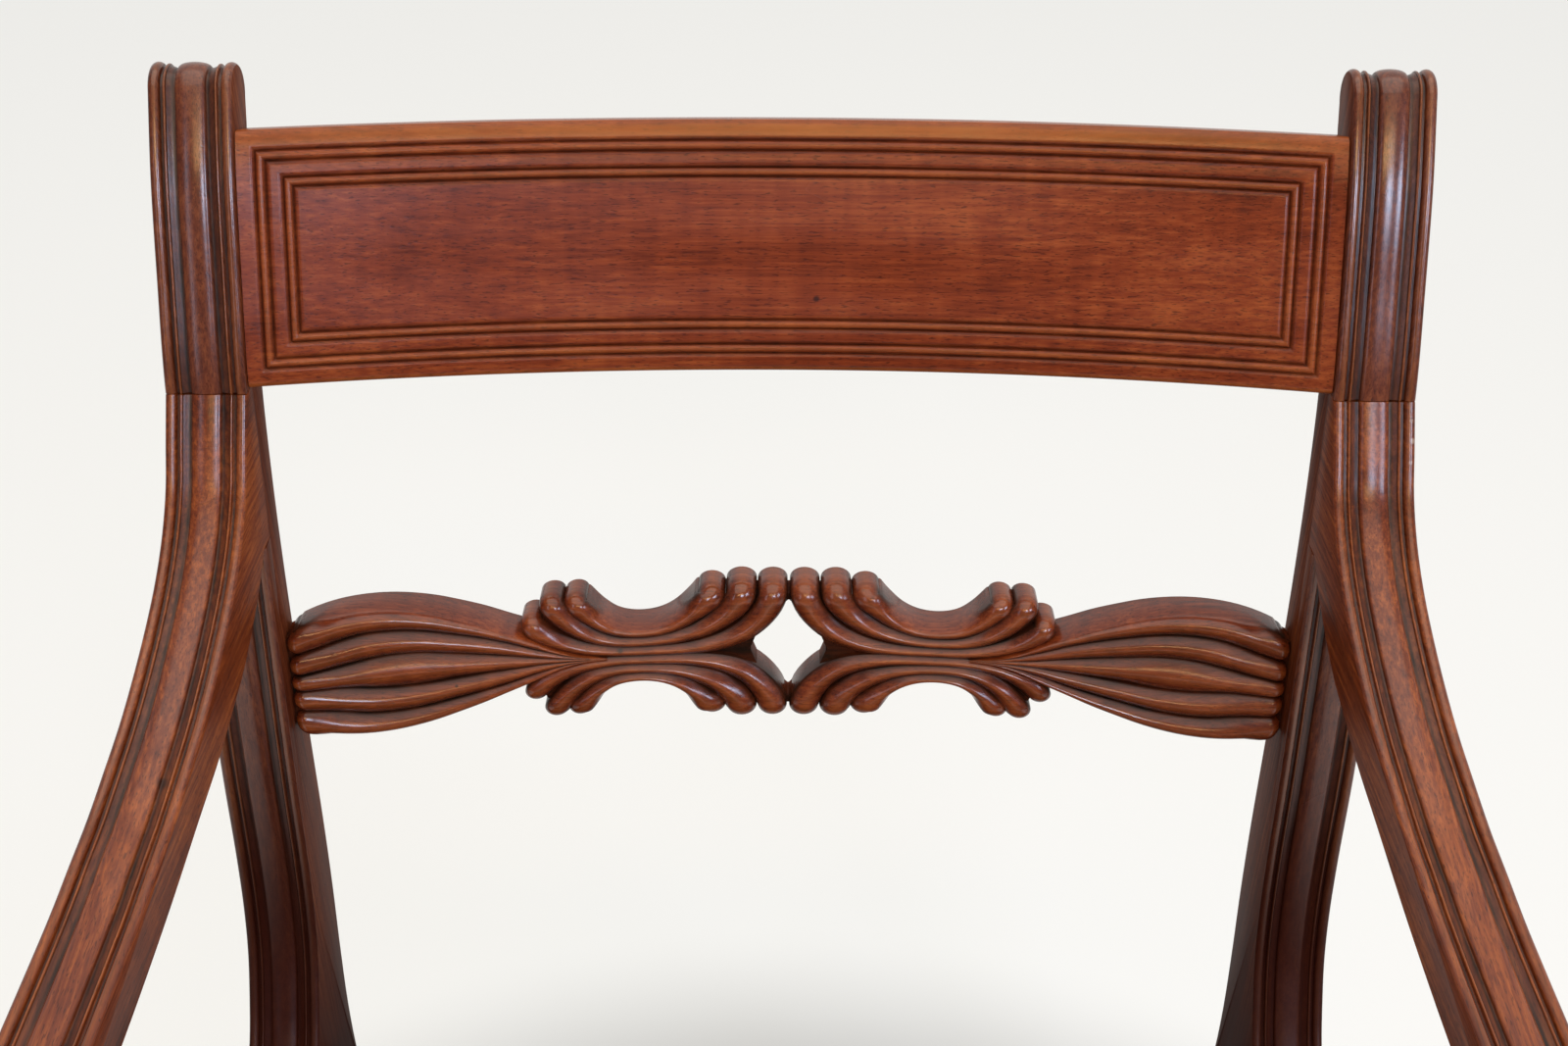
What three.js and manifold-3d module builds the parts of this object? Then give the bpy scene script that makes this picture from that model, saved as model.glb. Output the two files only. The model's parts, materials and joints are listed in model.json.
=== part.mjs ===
// Regency style open armchair in mahogany. Two moulded stiles with scrolled tops run down into sabre back
// legs and carry a bowed crest rail and a carved, pierced mid rail. The arms are let into the stiles, sweep
// down and forward and end in a roll over a curved support. A drop-in seat in black leather rests on ledger
// strips inside the seat rails.
//
// Lengths are millimetres. +Z is up and the chair faces -Y, so the sitter's left hand is on the +X side.
// Side outlines are drawn as (forward, up) points. Forward is 0 at the front of the stiles beside the top of
// the crest rail, and grows towards the sitter's knees.

import * as THREE from "three";
import { mergeVertices } from "three/addons/utils/BufferGeometryUtils.js";
import Module from "manifold-3d";

const wasm = await Module();
wasm.setup();

// Overall sizes.
const chairHeight = 857;
const stileSpan = 460; // outside to outside of the stiles
const stileWidth = 30;
const seatRailTop = 438;
const seatRailDepth = 63;
const footReach = 112; // forward end of a stile's swept foot, where the side rail joins it
const heelReach = 76; // how far a back leg sweeps behind the crest's front
const frontRailFace = 464; // forward face of the front rail
const frontLegBlock = 34; // front to back, at the seat rails
const frontFootReach = 39; // how far a front foot sweeps ahead of its rail
const footTaper = 5; // how much narrower a foot is than its leg at the top
const seatSplayDegrees = 3.7;
const armSplayDegrees = 2.7;

// Clearances.
const fit = 0.3; // between glued or touching faces
const overrun = 2; // how far a cutter passes the face it cuts
const seatPlay = 1.5; // round the drop-in seat

// Moulding along the front of stiles and front legs and on top of arms and side rails.
const mouldingDepth = 2;
const supportMouldingDepth = 1.4;

// Stiles.
const scrollRadius = 10.5;
const scrollForward = -17; // centre of the scrolled top
const seamDrop = 87; // from the crest rail's top down to the seam above each arm
const notchDrop = 151; // and down to the notch where the arm's underside leaves the stile
const armHousing = 8; // depth to which an arm is let into its stile

// Crest rail.
const crestDrop = 20; // from the top of the scrolls down to the top of the rail
const crestRise = 84;
const crestThickness = 19;
const crestSetback = 3;
const crestBow = 22.6;
const crestBowDipDegrees = 11;
const crestEdgeRound = 2.2;
const beadWidth = 3.2;
const beadHeight = 1.3;
const outerBeadInset = 9; // from the rail's long edges to the middle of the outer bead
const outerBeadEndInset = 8.2; // and from the stiles
const beadStep = 9.4; // from the outer bead to the inner one

// Mid rail.
const midDrop = 218; // from the crest rail's top down to the mid rail's axis
const midRailHeight = 61;
const midRailThickness = 17;
const midSetback = 6;
const midBow = 23;
const midLeanDegrees = 7.2;
const carvingDepth = 3.2;
const carvingWidth = 5.2;

// Arms and their supports.
const armTop = 658.5;
const armThickness = 22;
const armReach = 385;
const armRollRadius = 25;
const supportSetback = 69; // from the forward end of an arm back to its support's middle
const supportBend = 24;
const supportDepth = 32;

// Seat rails inside the frame.
const frontRailThickness = 24;
const backRailThickness = 22;
const backRailSetback = 55; // from the forward end of the stiles' feet back to the rail's rear face
const backRailDrop = 18; // of its top below the side rails' tops
const ledgerSize = 14;
const ledgerDrop = 26; // of the ledgers' tops below the side rails' tops
const blockLeg = 44;
const blockHeight = 22;

// Tenons and screws.
const tenonLength = 20;
const tenonThickness = 9;
const tenonShoulder = 10; // above and below a tenon
const midTenonHeight = 26;
const midTenonThickness = 8;
const screwHeadRadius = 4.5;
const screwHeadRim = 0.8;
const screwShankRadius = 2.2;
const screwLength = 34;
const screwPointLength = 5;
const screwSides = 8;
const screwInset = 17; // from the inner corner of a block
const screwOffset = 5.2; // of the two screws of a block, above and below its middle

// Drop-in seat.
const seatFrameWidth = 46;
const seatFrameThickness = 21;
const coverThickness = 1.5;
const coverTurnUnder = 12;
const webbingWidth = 50;
const webbingThickness = 1.4;
const webbingWave = 0.9;
const longStraps = 3;
const crossStraps = 4;
const longPitch = 95; // between the straps that run from back to front
const crossPitch = 72.5;
const hessianThickness = 0.8;
const padEdge = 3; // height of the pad at its rim
const padCrown = 24;
const seatCornerRadius = 10;

const mahogany = { color: 0x6b2412, roughness: 0.32, metalness: 0 };
const beech = { color: 0x9a7448, roughness: 0.7, metalness: 0 };
const leather = { color: 0x141210, roughness: 0.45, metalness: 0 };
const jute = { color: 0xa68a5c, roughness: 0.95, metalness: 0 };
const stuffing = { color: 0xb9a98a, roughness: 1, metalness: 0 };
const steel = { color: 0x8c8a86, roughness: 0.4, metalness: 1 };

const radians = THREE.MathUtils.degToRad;
const lerp = THREE.MathUtils.lerp;
const chair = new THREE.Group();

function addNode(name, geometry, finish, parent = chair) {
  const mesh = new THREE.Mesh(geometry, new THREE.MeshStandardMaterial(finish));
  mesh.name = name;
  parent.add(mesh);
}

// Turns the faces of a closed geometry outwards.
function facingOut(geometry) {
  const place = geometry.getAttribute("position");
  const index = geometry.index.array;
  const corner = [new THREE.Vector3(), new THREE.Vector3(), new THREE.Vector3()];
  let volume = 0;
  for (let i = 0; i < index.length; i += 3) {
    corner.forEach((c, k) => c.fromBufferAttribute(place, index[i + k]));
    volume += corner[0].dot(corner[1].cross(corner[2]));
  }
  if (volume < 0)
    for (let i = 0; i < index.length; i += 3) [index[i], index[i + 1]] = [index[i + 1], index[i]];
  geometry.computeVertexNormals();
  return geometry;
}

function geometryOf(points, index) {
  const geometry = new THREE.BufferGeometry().setFromPoints(points);
  geometry.setIndex(index);
  return facingOut(geometry);
}

// A closed solid through rings of equally many points, with flat ends. The ends' triangles are found on the
// first ring, seen along the axis named by its two other coordinates.
function loft(rings, across = "y", up = "z") {
  const count = rings[0].length;
  const index = [];
  for (let r = 0; r + 1 < rings.length; r++)
    for (let i = 0; i < count; i++) {
      const j = (i + 1) % count;
      const [a, b, c, d] = [r * count + i, r * count + j, (r + 1) * count + j, (r + 1) * count + i];
      index.push(a, b, c, a, c, d);
    }
  const flat = rings[0].map((p) => new THREE.Vector2(p[across], p[up]));
  const last = (rings.length - 1) * count;
  const turned = THREE.ShapeUtils.area(flat) > 0;
  for (const [a, b, c] of THREE.ShapeUtils.triangulateShape(flat, [])) {
    const [p, q] = turned ? [a, b] : [b, a];
    index.push(q, p, c, last + p, last + q, last + c);
  }
  return geometryOf(rings.flat(), index);
}

// A closed solid through rings that shrink to one point at each end.
function poleLoft(first, rings, last) {
  const count = rings[0].length;
  const points = [first, ...rings.flat(), last];
  const index = [];
  for (let i = 0; i < count; i++) {
    const j = (i + 1) % count;
    index.push(0, 1 + j, 1 + i);
    for (let r = 0; r + 1 < rings.length; r++) {
      const [a, b] = [1 + r * count + i, 1 + r * count + j];
      index.push(a, b, b + count, a, b + count, a + count);
    }
    const base = 1 + (rings.length - 1) * count;
    index.push(base + i, base + j, points.length - 1);
  }
  return geometryOf(points, index);
}

function solidOf(geometry) {
  const bare = geometry.clone();
  bare.deleteAttribute("normal");
  bare.deleteAttribute("uv");
  const merged = mergeVertices(bare, fit / 1000);
  return new wasm.Manifold(
    new wasm.Mesh({
      numProp: 3,
      vertProperties: new Float32Array(merged.getAttribute("position").array),
      triVerts: new Uint32Array(merged.index.array),
    }),
  );
}

function geometryOfSolid(solid) {
  const mesh = solid.getMesh();
  const geometry = new THREE.BufferGeometry();
  geometry.setAttribute("position", new THREE.BufferAttribute(new Float32Array(mesh.vertProperties), 3));
  geometry.setIndex(new THREE.BufferAttribute(new Uint32Array(mesh.triVerts), 1));
  geometry.computeVertexNormals();
  return geometry;
}

// The body with some solids added and others cut away.
function worked(body, added, cut) {
  let solid = solidOf(body);
  for (const piece of added) solid = solid.add(solidOf(piece));
  for (const piece of cut) solid = solid.subtract(solidOf(piece));
  return geometryOfSolid(solid);
}

// A smooth run of points through a few chosen ones.
function smooth(points, steps) {
  const curve = new THREE.CatmullRomCurve3(
    points.map(([forward, up]) => new THREE.Vector3(forward, up, 0)),
    false,
    "centripetal",
  );
  return curve.getSpacedPoints(steps).map((p) => [p.x, p.y]);
}

function arc(centreForward, centreUp, radius, fromDegrees, toDegrees, steps) {
  return Array.from({ length: steps + 1 }, (_, i) => {
    const angle = radians(lerp(fromDegrees, toDegrees, i / steps));
    return [centreForward + radius * Math.cos(angle), centreUp + radius * Math.sin(angle)];
  });
}

// Where the middle of a side frame lies across the chair, at the seat rails and at the arms.
const stileCentre = (stileSpan - stileWidth) / 2;
const railCentreAt = (forward) =>
  stileCentre + Math.max(0, forward - footReach) * Math.tan(radians(seatSplayDegrees));
const halfWidth = stileWidth / 2;
const innerFaceAt = (forward) => railCentreAt(forward) - halfWidth;

// Front line of the stiles, from the foot up to the start of the scroll.
const backRise = chairHeight - seatRailTop;
const frontLineShares = [
  [1, 0],
  [0.88, 0.0199],
  [0.768, 0.0468],
  [0.68, 0.0826],
  [0.6, 0.1244],
  [0.549, 0.1742],
  [0.518, 0.2359],
  [0.491, 0.3384],
  [0.448, 0.4459],
  [0.406, 0.5414],
  [0.366, 0.625],
  [0.306, 0.7444],
  [0.178, 0.842],
  [0.067, 0.9166],
  [0, 0.9524],
  [-0.073, 0.9885],
];
const onBack = ([forwardShare, upShare]) => [forwardShare * footReach, seatRailTop + upShare * backRise];
const frontLineSteps = 300;
const frontLine = smooth(frontLineShares.map(onBack), frontLineSteps);

function frontAt(up) {
  const after = Math.max(1, frontLine.findIndex((p) => p[1] >= up));
  const [a, b] = [frontLine[after - 1], frontLine[after]];
  return lerp(a[0], b[0], (up - a[1]) / (b[1] - a[1]));
}

function frontRun(fromUp, toUp, steps) {
  return Array.from({ length: steps + 1 }, (_, i) => {
    const up = lerp(fromUp, toUp, i / steps);
    return [frontAt(up), up];
  });
}

const crestTop = chairHeight - crestDrop;
const seamUp = crestTop - seamDrop;
const notchUp = crestTop - notchDrop;

// Cross-section of the moulding: an edge bead, a groove, a thin bead, a cove and a wide middle round, given
// from the middle outwards as shares of the half width and of the moulding's depth.
const mouldingShares = [
  [0, 0],
  [0.27, 0.35],
  [0.38, 1.05],
  [0.57, 0.6],
  [0.615, 0.28],
  [0.7, 1],
  [0.87, 0],
  [1, 0.5],
];
const mouldingStations = [
  ...mouldingShares.slice(1).reverse().map(([across, depth]) => [-across, depth]),
  ...mouldingShares,
];

// A solid with a side outline, lofted across the width of the moulding. The outline is a list of runs, each
// { points, moulded, level }: the points of a moulded run sink by the section's depth, and at a level end
// they keep their height. The place across the chair and the width may change with forward and up.
function mouldedSide(runs, side, centreAt, widthAt, depth = mouldingDepth) {
  const outline = runs.flatMap((run) => run.points.map((point) => ({ point, moulded: run.moulded })));
  const turn = Math.sign(THREE.ShapeUtils.area(outline.map((o) => new THREE.Vector2(...o.point))));
  const inward = runs.flatMap((run) =>
    run.points.map((_, i) => {
      const before = run.points[Math.max(0, i - 1)];
      const after = run.points[Math.min(run.points.length - 1, i + 1)];
      const along = new THREE.Vector2(after[0] - before[0], after[1] - before[1]).normalize();
      const atEnd = i === run.points.length - 1 || (i === 0 && run.level === "both");
      if (run.level && atEnd) along.set(0, Math.sign(along.y));
      return new THREE.Vector2(-along.y, along.x).multiplyScalar(turn);
    }),
  );
  const rings = mouldingStations.map(([across, sunk]) =>
    outline.map(({ point, moulded }, i) => {
      const drop = moulded ? sunk * depth : 0;
      const forward = point[0] + inward[i].x * drop;
      const up = point[1] + inward[i].y * drop;
      const x = side * (centreAt(point[0]) + (across * widthAt(point[1])) / 2);
      return new THREE.Vector3(x, -forward, up);
    }),
  );
  return loft(rings);
}

// A block with a side outline between two distances from the middle of the side frame.
function sidePrism(outline, side, centreAt, fromAcross, toAcross) {
  return loft(
    [fromAcross, toAcross].map((across) =>
      outline.map(([forward, up]) => new THREE.Vector3(side * (centreAt(forward) + across), -forward, up)),
    ),
  );
}

// A block with a plan outline of (x, forward) points between two heights.
function planPrism(outline, fromUp, toUp) {
  return loft(
    [fromUp, toUp].map((up) => outline.map(([x, forward]) => new THREE.Vector3(x, -forward, up))),
    "x",
    "y",
  );
}

const rectangle = (a0, b0, a1, b1) => [
  [a0, b0],
  [a1, b0],
  [a1, b1],
  [a0, b1],
];

// A tenon across the chair, turned with the leaning face it enters, grown by a clearance for its mortise.
function crossTenon(side, forward, up, leanDegrees, height, thickness, grown) {
  const length = tenonLength + overrun + grown;
  const box = new THREE.BoxGeometry(length, thickness + 2 * grown, height + 2 * grown);
  box.rotateX(radians(leanDegrees));
  const inner = stileCentre - halfWidth;
  box.translate(side * (inner - overrun + length / 2), -forward, up);
  return box;
}

// Rails' tenons at the ends of the side rails: forward into the front legs and back into the stiles' feet.
const seatRailBottom = seatRailTop - seatRailDepth;
const legBack = frontRailFace - frontLegBlock;
function sideRailTenon(side, from, to, grown) {
  const low = seatRailBottom + tenonShoulder - grown;
  const high = seatRailTop - tenonShoulder + grown;
  const across = tenonThickness / 2 + grown;
  return sidePrism(rectangle(from - grown, low, to + grown, high), side, railCentreAt, -across, across);
}

// Screws of the corner blocks. Each points along +Z before it is turned.
const screwProfile = [
  [0, 0],
  [screwHeadRadius, 0],
  [screwHeadRadius, screwHeadRim],
  [screwShankRadius, screwHeadRim + screwHeadRadius - screwShankRadius],
  [screwShankRadius, screwLength - screwPointLength],
  [0, screwLength],
];
// Grown by a clearance it is the cutter of its hole, which runs on outwards from the head.
function screwSolid(grown) {
  const outwards = grown > 0 ? blockLeg : 0;
  const profile = screwProfile.map(
    ([radius, along], i) =>
      new THREE.Vector2(
        i === 0 || i === screwProfile.length - 1 ? 0 : radius + grown,
        along + (i < 2 ? -outwards : grown),
      ),
  );
  return new THREE.LatheGeometry(profile, screwSides).rotateX(Math.PI / 2);
}

const backRailForward = footReach - backRailSetback;
const backRailFront = backRailForward + backRailThickness;
const frontRailBack = frontRailFace - frontRailThickness;
const ledgerTop = seatRailTop - ledgerDrop;
const blockTop = ledgerTop - ledgerSize - fit;
const blockMiddle = blockTop - blockHeight / 2;

// The four inner corners, each with the way it opens along forward.
const corners = [
  { place: "front", forward: frontRailBack - fit, way: -1 },
  { place: "back", forward: backRailFront + fit, way: 1 },
];
const sides = [
  { name: "left", side: 1 },
  { name: "right", side: -1 },
];

// The screw through a block into the side frame, or through it into the front or back rail. Its head is sunk
// a head's depth into the slanting face of the block.
function blockScrew(corner, side, intoRail, grown) {
  const screw = screwSolid(grown);
  const edge = innerFaceAt(corner.forward) - fit;
  const sink = blockLeg - screwInset - screwHeadRadius - overrun;
  if (intoRail) {
    screw.rotateX((-corner.way * Math.PI) / 2);
    const forward = corner.forward + corner.way * sink;
    screw.translate(side * (edge - screwInset), -forward, blockMiddle + screwOffset);
  } else {
    screw.rotateY((side * Math.PI) / 2);
    const forward = corner.forward + corner.way * screwInset;
    screw.translate(side * (edge - sink), -forward, blockMiddle - screwOffset);
  }
  return screw;
}

function screwHoles(side, wanted) {
  return corners
    .filter((corner) => wanted(corner))
    .map((corner) => blockScrew(corner, side, false, fit));
}

// Stiles with their sabre back legs.
const backLineShares = [
  [-0.12, 0.9048],
  [-0.037, 0.847],
  [0.045, 0.7871],
  [0.113, 0.7255],
  [0.175, 0.6251],
  [0.211, 0.5174],
  [0.227, 0.41],
  [0.234, 0.3155],
  [0.243, 0.2196],
  [0.264, 0.136],
  [0.3, 0.0525],
];
const legBackShares = [
  [0.474, 0.97],
  [0.447, 0.89],
  [0.329, 0.776],
  [0.145, 0.651],
  [-0.04, 0.514],
  [-0.263, 0.365],
  [-0.526, 0.217],
  [-0.79, 0.091],
  [-1, 0],
];
const legFrontShares = [
  [-0.605, 0],
  [-0.447, 0.08],
  [-0.263, 0.183],
  [-0.013, 0.32],
  [0.224, 0.468],
  [0.434, 0.605],
  [0.605, 0.719],
  [0.76, 0.8],
];
const legKneeShare = 0.93;
const onLeg = ([forwardShare, upShare]) => [forwardShare * heelReach, upShare * seatRailTop];
const scrollUp = chairHeight - scrollRadius;
const scrollStartDegrees = 33;
const scrollEndDegrees = 213;

function taperAt(up) {
  return stileWidth - footTaper * Math.max(0, 1 - up / seatRailBottom);
}

function stile(side) {
  const scroll = arc(scrollForward, scrollUp, scrollRadius, scrollStartDegrees, scrollEndDegrees, 7);
  const scrollFoot = scroll[scroll.length - 1];
  const backLine = [scrollFoot, ...backLineShares.map(onBack), ...legBackShares.map(onLeg)];
  const legFront = [...legFrontShares.map(onLeg), [legKneeShare * heelReach, seatRailBottom]];
  const runs = [
    { moulded: true, points: frontRun(seatRailTop, notchUp, 9) },
    {
      moulded: false,
      points: [
        [frontAt(notchUp) - armHousing, notchUp],
        [frontAt(seamUp) - armHousing, seamUp],
      ],
    },
    { moulded: true, points: [...frontRun(seamUp, crestTop, 4), ...scroll] },
    { moulded: false, points: smooth(backLine, 15).slice(1) },
    { moulded: false, points: smooth(legFront, 6) },
    { moulded: false, points: [[footReach, seatRailBottom]] },
  ];
  const body = mouldedSide(runs, side, () => stileCentre, taperAt);
  const railFrom = footReach - tenonLength - fit;
  return worked(
    body,
    [],
    [
      sideRailTenon(side, railFrom, footReach + overrun, fit),
      crestTenon(side, fit),
      midTenon(side, fit),
      backRailTenon(side, fit),
      ...screwHoles(side, (corner) => corner.place === "back"),
    ],
  );
}

// Crest rail: a leaning bowed tablet. Its face follows the front line of the stiles.
const crestLow = crestTop - crestRise;
const crestMiddle = (crestTop + crestLow) / 2;
const crestLeanDegrees = THREE.MathUtils.radToDeg(
  Math.atan2(frontAt(crestLow) - frontAt(crestTop), crestRise),
);
const crestLength = crestRise / Math.cos(radians(crestLeanDegrees));
const railHalf = stileCentre - halfWidth - fit;

function crestTenon(side, grown) {
  const deep = crestSetback + crestThickness / 2;
  return crossTenon(
    side,
    frontAt(crestMiddle) - deep,
    crestMiddle - deep * Math.tan(radians(crestLeanDegrees)),
    -crestLeanDegrees,
    crestLength - 2 * tenonShoulder,
    tenonThickness,
    grown,
  );
}

// How far a bowed rail's face lies behind its ends, at a distance from the middle.
function bowAt(x, bow) {
  const half = stileCentre - halfWidth;
  const radius = (half * half + bow * bow) / (2 * bow);
  return Math.sqrt(radius * radius - x * x) - (radius - bow);
}

// Breaks of the two nested bead frames, as distances inside the middle of the outer bead.
const beadBreaks = [0, beadStep].flatMap((middle) => [middle - beadWidth / 2, middle, middle + beadWidth / 2]);

// Height over the tablet's face at a distance inside the middle of the outer bead.
function beadRelief(distance) {
  const nearest = Math.min(Math.abs(distance), Math.abs(distance - beadStep));
  return Math.max(0, beadHeight * (1 - nearest / (beadWidth / 2)));
}

function crestRail() {
  const half = railHalf;
  const alongBreaks = beadBreaks.map((step) => step + outerBeadEndInset);
  const middleSteps = 10;
  const last = alongBreaks[alongBreaks.length - 1];
  const span = half - last;
  const inner = Array.from({ length: middleSteps - 1 }, (_, i) => -span + (2 * span * (i + 1)) / middleSteps);
  const stations = [-half, ...alongBreaks.map((d) => d - half), ...inner];
  stations.push(...alongBreaks.map((d) => half - d).reverse(), half);
  const downBreaks = beadBreaks.map((step) => step + outerBeadInset);
  const downStations = [
    crestEdgeRound,
    ...downBreaks,
    ...downBreaks.map((d) => crestLength - d).reverse(),
    crestLength - crestEdgeRound,
  ];
  const lean = radians(crestLeanDegrees);
  const dip = radians(crestBowDipDegrees);
  const rings = stations.map((x) => {
    const bow = bowAt(x, crestBow);
    const fromEnd = half - Math.abs(x) - outerBeadEndInset;
    const facePoint = (down, out) => {
      const up = crestTop - down * Math.cos(lean);
      const forward = frontAt(up) - crestSetback + out * Math.cos(lean) - bow * Math.cos(dip);
      return new THREE.Vector3(x, -forward, up + out * Math.sin(lean) - bow * Math.sin(dip));
    };
    const face = downStations.map((down) => {
      const fromLong = Math.min(down, crestLength - down) - outerBeadInset;
      return facePoint(down, beadRelief(Math.min(fromLong, fromEnd)));
    });
    const deep = -crestThickness;
    const back = [
      facePoint(crestLength, -crestEdgeRound),
      facePoint(crestLength, deep),
      facePoint(crestLength / 2, deep),
      facePoint(0, deep),
      facePoint(0, -crestEdgeRound),
    ];
    return [...face, ...back];
  });
  const body = loft(rings);
  return worked(body, [crestTenon(1, 0), crestTenon(-1, 0)], []);
}

// Mid rail. It is sawn out of a bowed blank and carved with a V tool. The design repeats in its four
// quarters, so one quarter is given, in shares of half the length and of half the height.
const midAxisUp = crestTop - midDrop;
const midAxisFront = frontAt(midAxisUp) - midSetback;
const midHalf = midRailHeight / 2;
const midLean = radians(midLeanDegrees);

// A point of the mid rail: along it, up its leaning face, and in front of the face.
function onMidRail(along, up, out) {
  const forward = midAxisFront - up * Math.sin(midLean) + out * Math.cos(midLean) - bowAt(along, midBow);
  return new THREE.Vector3(along, -forward, midAxisUp + up * Math.cos(midLean) + out * Math.sin(midLean));
}

// Top edge of the rail from the middle to the stile: three reed tips, the waist, three reed tips at the
// back of the bundle, then the fan. The two middle tips of a bundle stand a little over the nominal height.
const quarterTopShares = [
  [0, 0.86],
  [0.012, 1],
  [0.032, 1.055],
  [0.054, 1],
  [0.064, 0.86],
  [0.074, 1],
  [0.095, 1.055],
  [0.116, 0.99],
  [0.125, 0.84],
  [0.134, 0.93],
  [0.153, 1],
  [0.17, 0.96],
  [0.182, 0.85],
  [0.205, 0.66],
  [0.24, 0.5],
  [0.275, 0.435],
  [0.312, 0.42],
  [0.348, 0.46],
  [0.38, 0.56],
  [0.405, 0.7],
  [0.418, 0.89],
  [0.435, 0.928],
  [0.452, 0.85],
  [0.459, 0.72],
  [0.469, 0.87],
  [0.485, 0.928],
  [0.5, 0.84],
  [0.505, 0.62],
  [0.512, 0.5],
  [0.525, 0.48],
  [0.536, 0.41],
  [0.57, 0.51],
  [0.62, 0.66],
  [0.68, 0.82],
  [0.74, 0.93],
  [0.81, 0.985],
  [0.87, 0.965],
  [0.93, 0.88],
  [0.975, 0.76],
  [1, 0.62],
];
// One quarter of the piercing at the middle of the rail.
const piercingShares = [
  [0, 0.74],
  [0.02, 0.55],
  [0.045, 0.32],
  [0.077, 0],
];
// Carved grooves of a quarter, from the middle outwards.
const grooveShares = [
  [
    [0.064, 0.95],
    [0.07, 0.72],
    [0.09, 0.5],
    [0.13, 0.3],
    [0.19, 0.17],
    [0.27, 0.115],
    [0.35, 0.11],
    [0.41, 0.17],
    [0.46, 0.3],
    [0.495, 0.46],
    [0.51, 0.56],
  ],
  [
    [0.125, 0.95],
    [0.128, 0.78],
    [0.15, 0.6],
    [0.185, 0.41],
    [0.235, 0.295],
    [0.3, 0.26],
    [0.355, 0.29],
    [0.405, 0.4],
    [0.44, 0.58],
    [0.455, 0.72],
    [0.459, 0.85],
  ],
  [
    [0.44, 0.06],
    [0.5, 0.16],
    [0.56, 0.285],
    [0.62, 0.41],
    [0.68, 0.51],
    [0.74, 0.59],
    [0.8, 0.62],
    [0.86, 0.6],
    [0.92, 0.515],
    [0.985, 0.43],
  ],
  [
    [0.44, 0.02],
    [0.52, 0.06],
    [0.61, 0.14],
    [0.7, 0.205],
    [0.78, 0.235],
    [0.86, 0.205],
    [0.93, 0.13],
    [0.985, 0.07],
  ],
];
const axisGrooveShares = [
  [0.1, 0],
  [0.25, 0],
  [0.4, 0],
];

// A V cut along a path on the face, drawn out to nothing at neither end.
function vCut(path, alongSign, upSign, steps) {
  const half = railHalf;
  const run = smooth(
    path.map(([along, up]) => [along * half * alongSign, up * midHalf * upSign]),
    steps,
  );
  const rings = run.map(([x, y], i) => {
    const before = run[Math.max(0, i - 1)];
    const after = run[Math.min(run.length - 1, i + 1)];
    const way = new THREE.Vector2(after[0] - before[0], after[1] - before[1]).normalize();
    const reach = carvingWidth / 2;
    const rise = overrun / 2;
    const wide = reach * (1 + rise / carvingDepth);
    return [
      onMidRail(x - way.y * wide, y + way.x * wide, rise),
      onMidRail(x, y, -carvingDepth),
      onMidRail(x + way.y * wide, y - way.x * wide, rise),
    ];
  });
  const index = [0, 2, 1];
  const last = (rings.length - 1) * 3;
  index.push(last, last + 1, last + 2);
  for (let r = 0; r + 1 < rings.length; r++)
    for (let i = 0; i < 3; i++) {
      const j = (i + 1) % 3;
      const [a, b] = [r * 3 + i, r * 3 + j];
      index.push(a, b, b + 3, a, b + 3, a + 3);
    }
  return geometryOf(rings.flat(), index);
}

function midTenon(side, grown) {
  const deep = midSetback + midRailThickness / 2;
  return crossTenon(
    side,
    frontAt(midAxisUp) - deep,
    midAxisUp,
    -midLeanDegrees,
    midTenonHeight,
    midTenonThickness,
    grown,
  );
}

function midRail() {
  const blankSteps = 20;
  const tall = midRailHeight / 2 + overrun;
  const blank = loft(
    Array.from({ length: blankSteps + 1 }, (_, i) => {
      const x = lerp(-railHalf, railHalf, i / blankSteps);
      return rectangle(0, -tall, -midRailThickness, tall).map(([out, up]) => onMidRail(x, up, out));
    }),
  );
  const quarter = quarterTopShares.map(([along, up]) => [along * railHalf, up * midHalf]);
  const mirrored = (points, sx, sy) => points.map(([x, y]) => new THREE.Vector2(sx * x, sy * y));
  const outline = [
    ...mirrored(quarter, 1, 1),
    ...mirrored(quarter, 1, -1).reverse(),
    ...mirrored(quarter, -1, -1).slice(1),
    ...mirrored(quarter, -1, 1).reverse().slice(0, -1),
  ];
  const shape = new THREE.Shape(outline.reverse());
  const hole = piercingShares.map(([along, up]) => [along * railHalf, up * midHalf]);
  shape.holes.push(
    new THREE.Path([
      ...mirrored(hole, 1, 1),
      ...mirrored(hole, 1, -1).reverse().slice(1),
      ...mirrored(hole, -1, -1).slice(1),
      ...mirrored(hole, -1, 1).reverse().slice(1, -1),
    ]),
  );
  const sawDepth = midBow + midRailThickness + midRailHeight;
  const sawn = new THREE.ExtrudeGeometry(shape, { depth: 2 * sawDepth, bevelEnabled: false });
  sawn.translate(0, 0, -sawDepth);
  sawn.rotateX(Math.PI / 2 - midLean);
  sawn.translate(0, -midAxisFront, midAxisUp);
  let solid = solidOf(blank).intersect(solidOf(sawn));
  for (const alongSign of [1, -1]) {
    for (const upSign of [1, -1])
      for (const path of grooveShares) solid = solid.subtract(solidOf(vCut(path, alongSign, upSign, 7)));
    solid = solid.subtract(solidOf(vCut(axisGrooveShares, alongSign, 1, 3)));
  }
  solid = solid.add(solidOf(midTenon(1, 0))).add(solidOf(midTenon(-1, 0)));
  return geometryOfSolid(solid);
}

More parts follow.
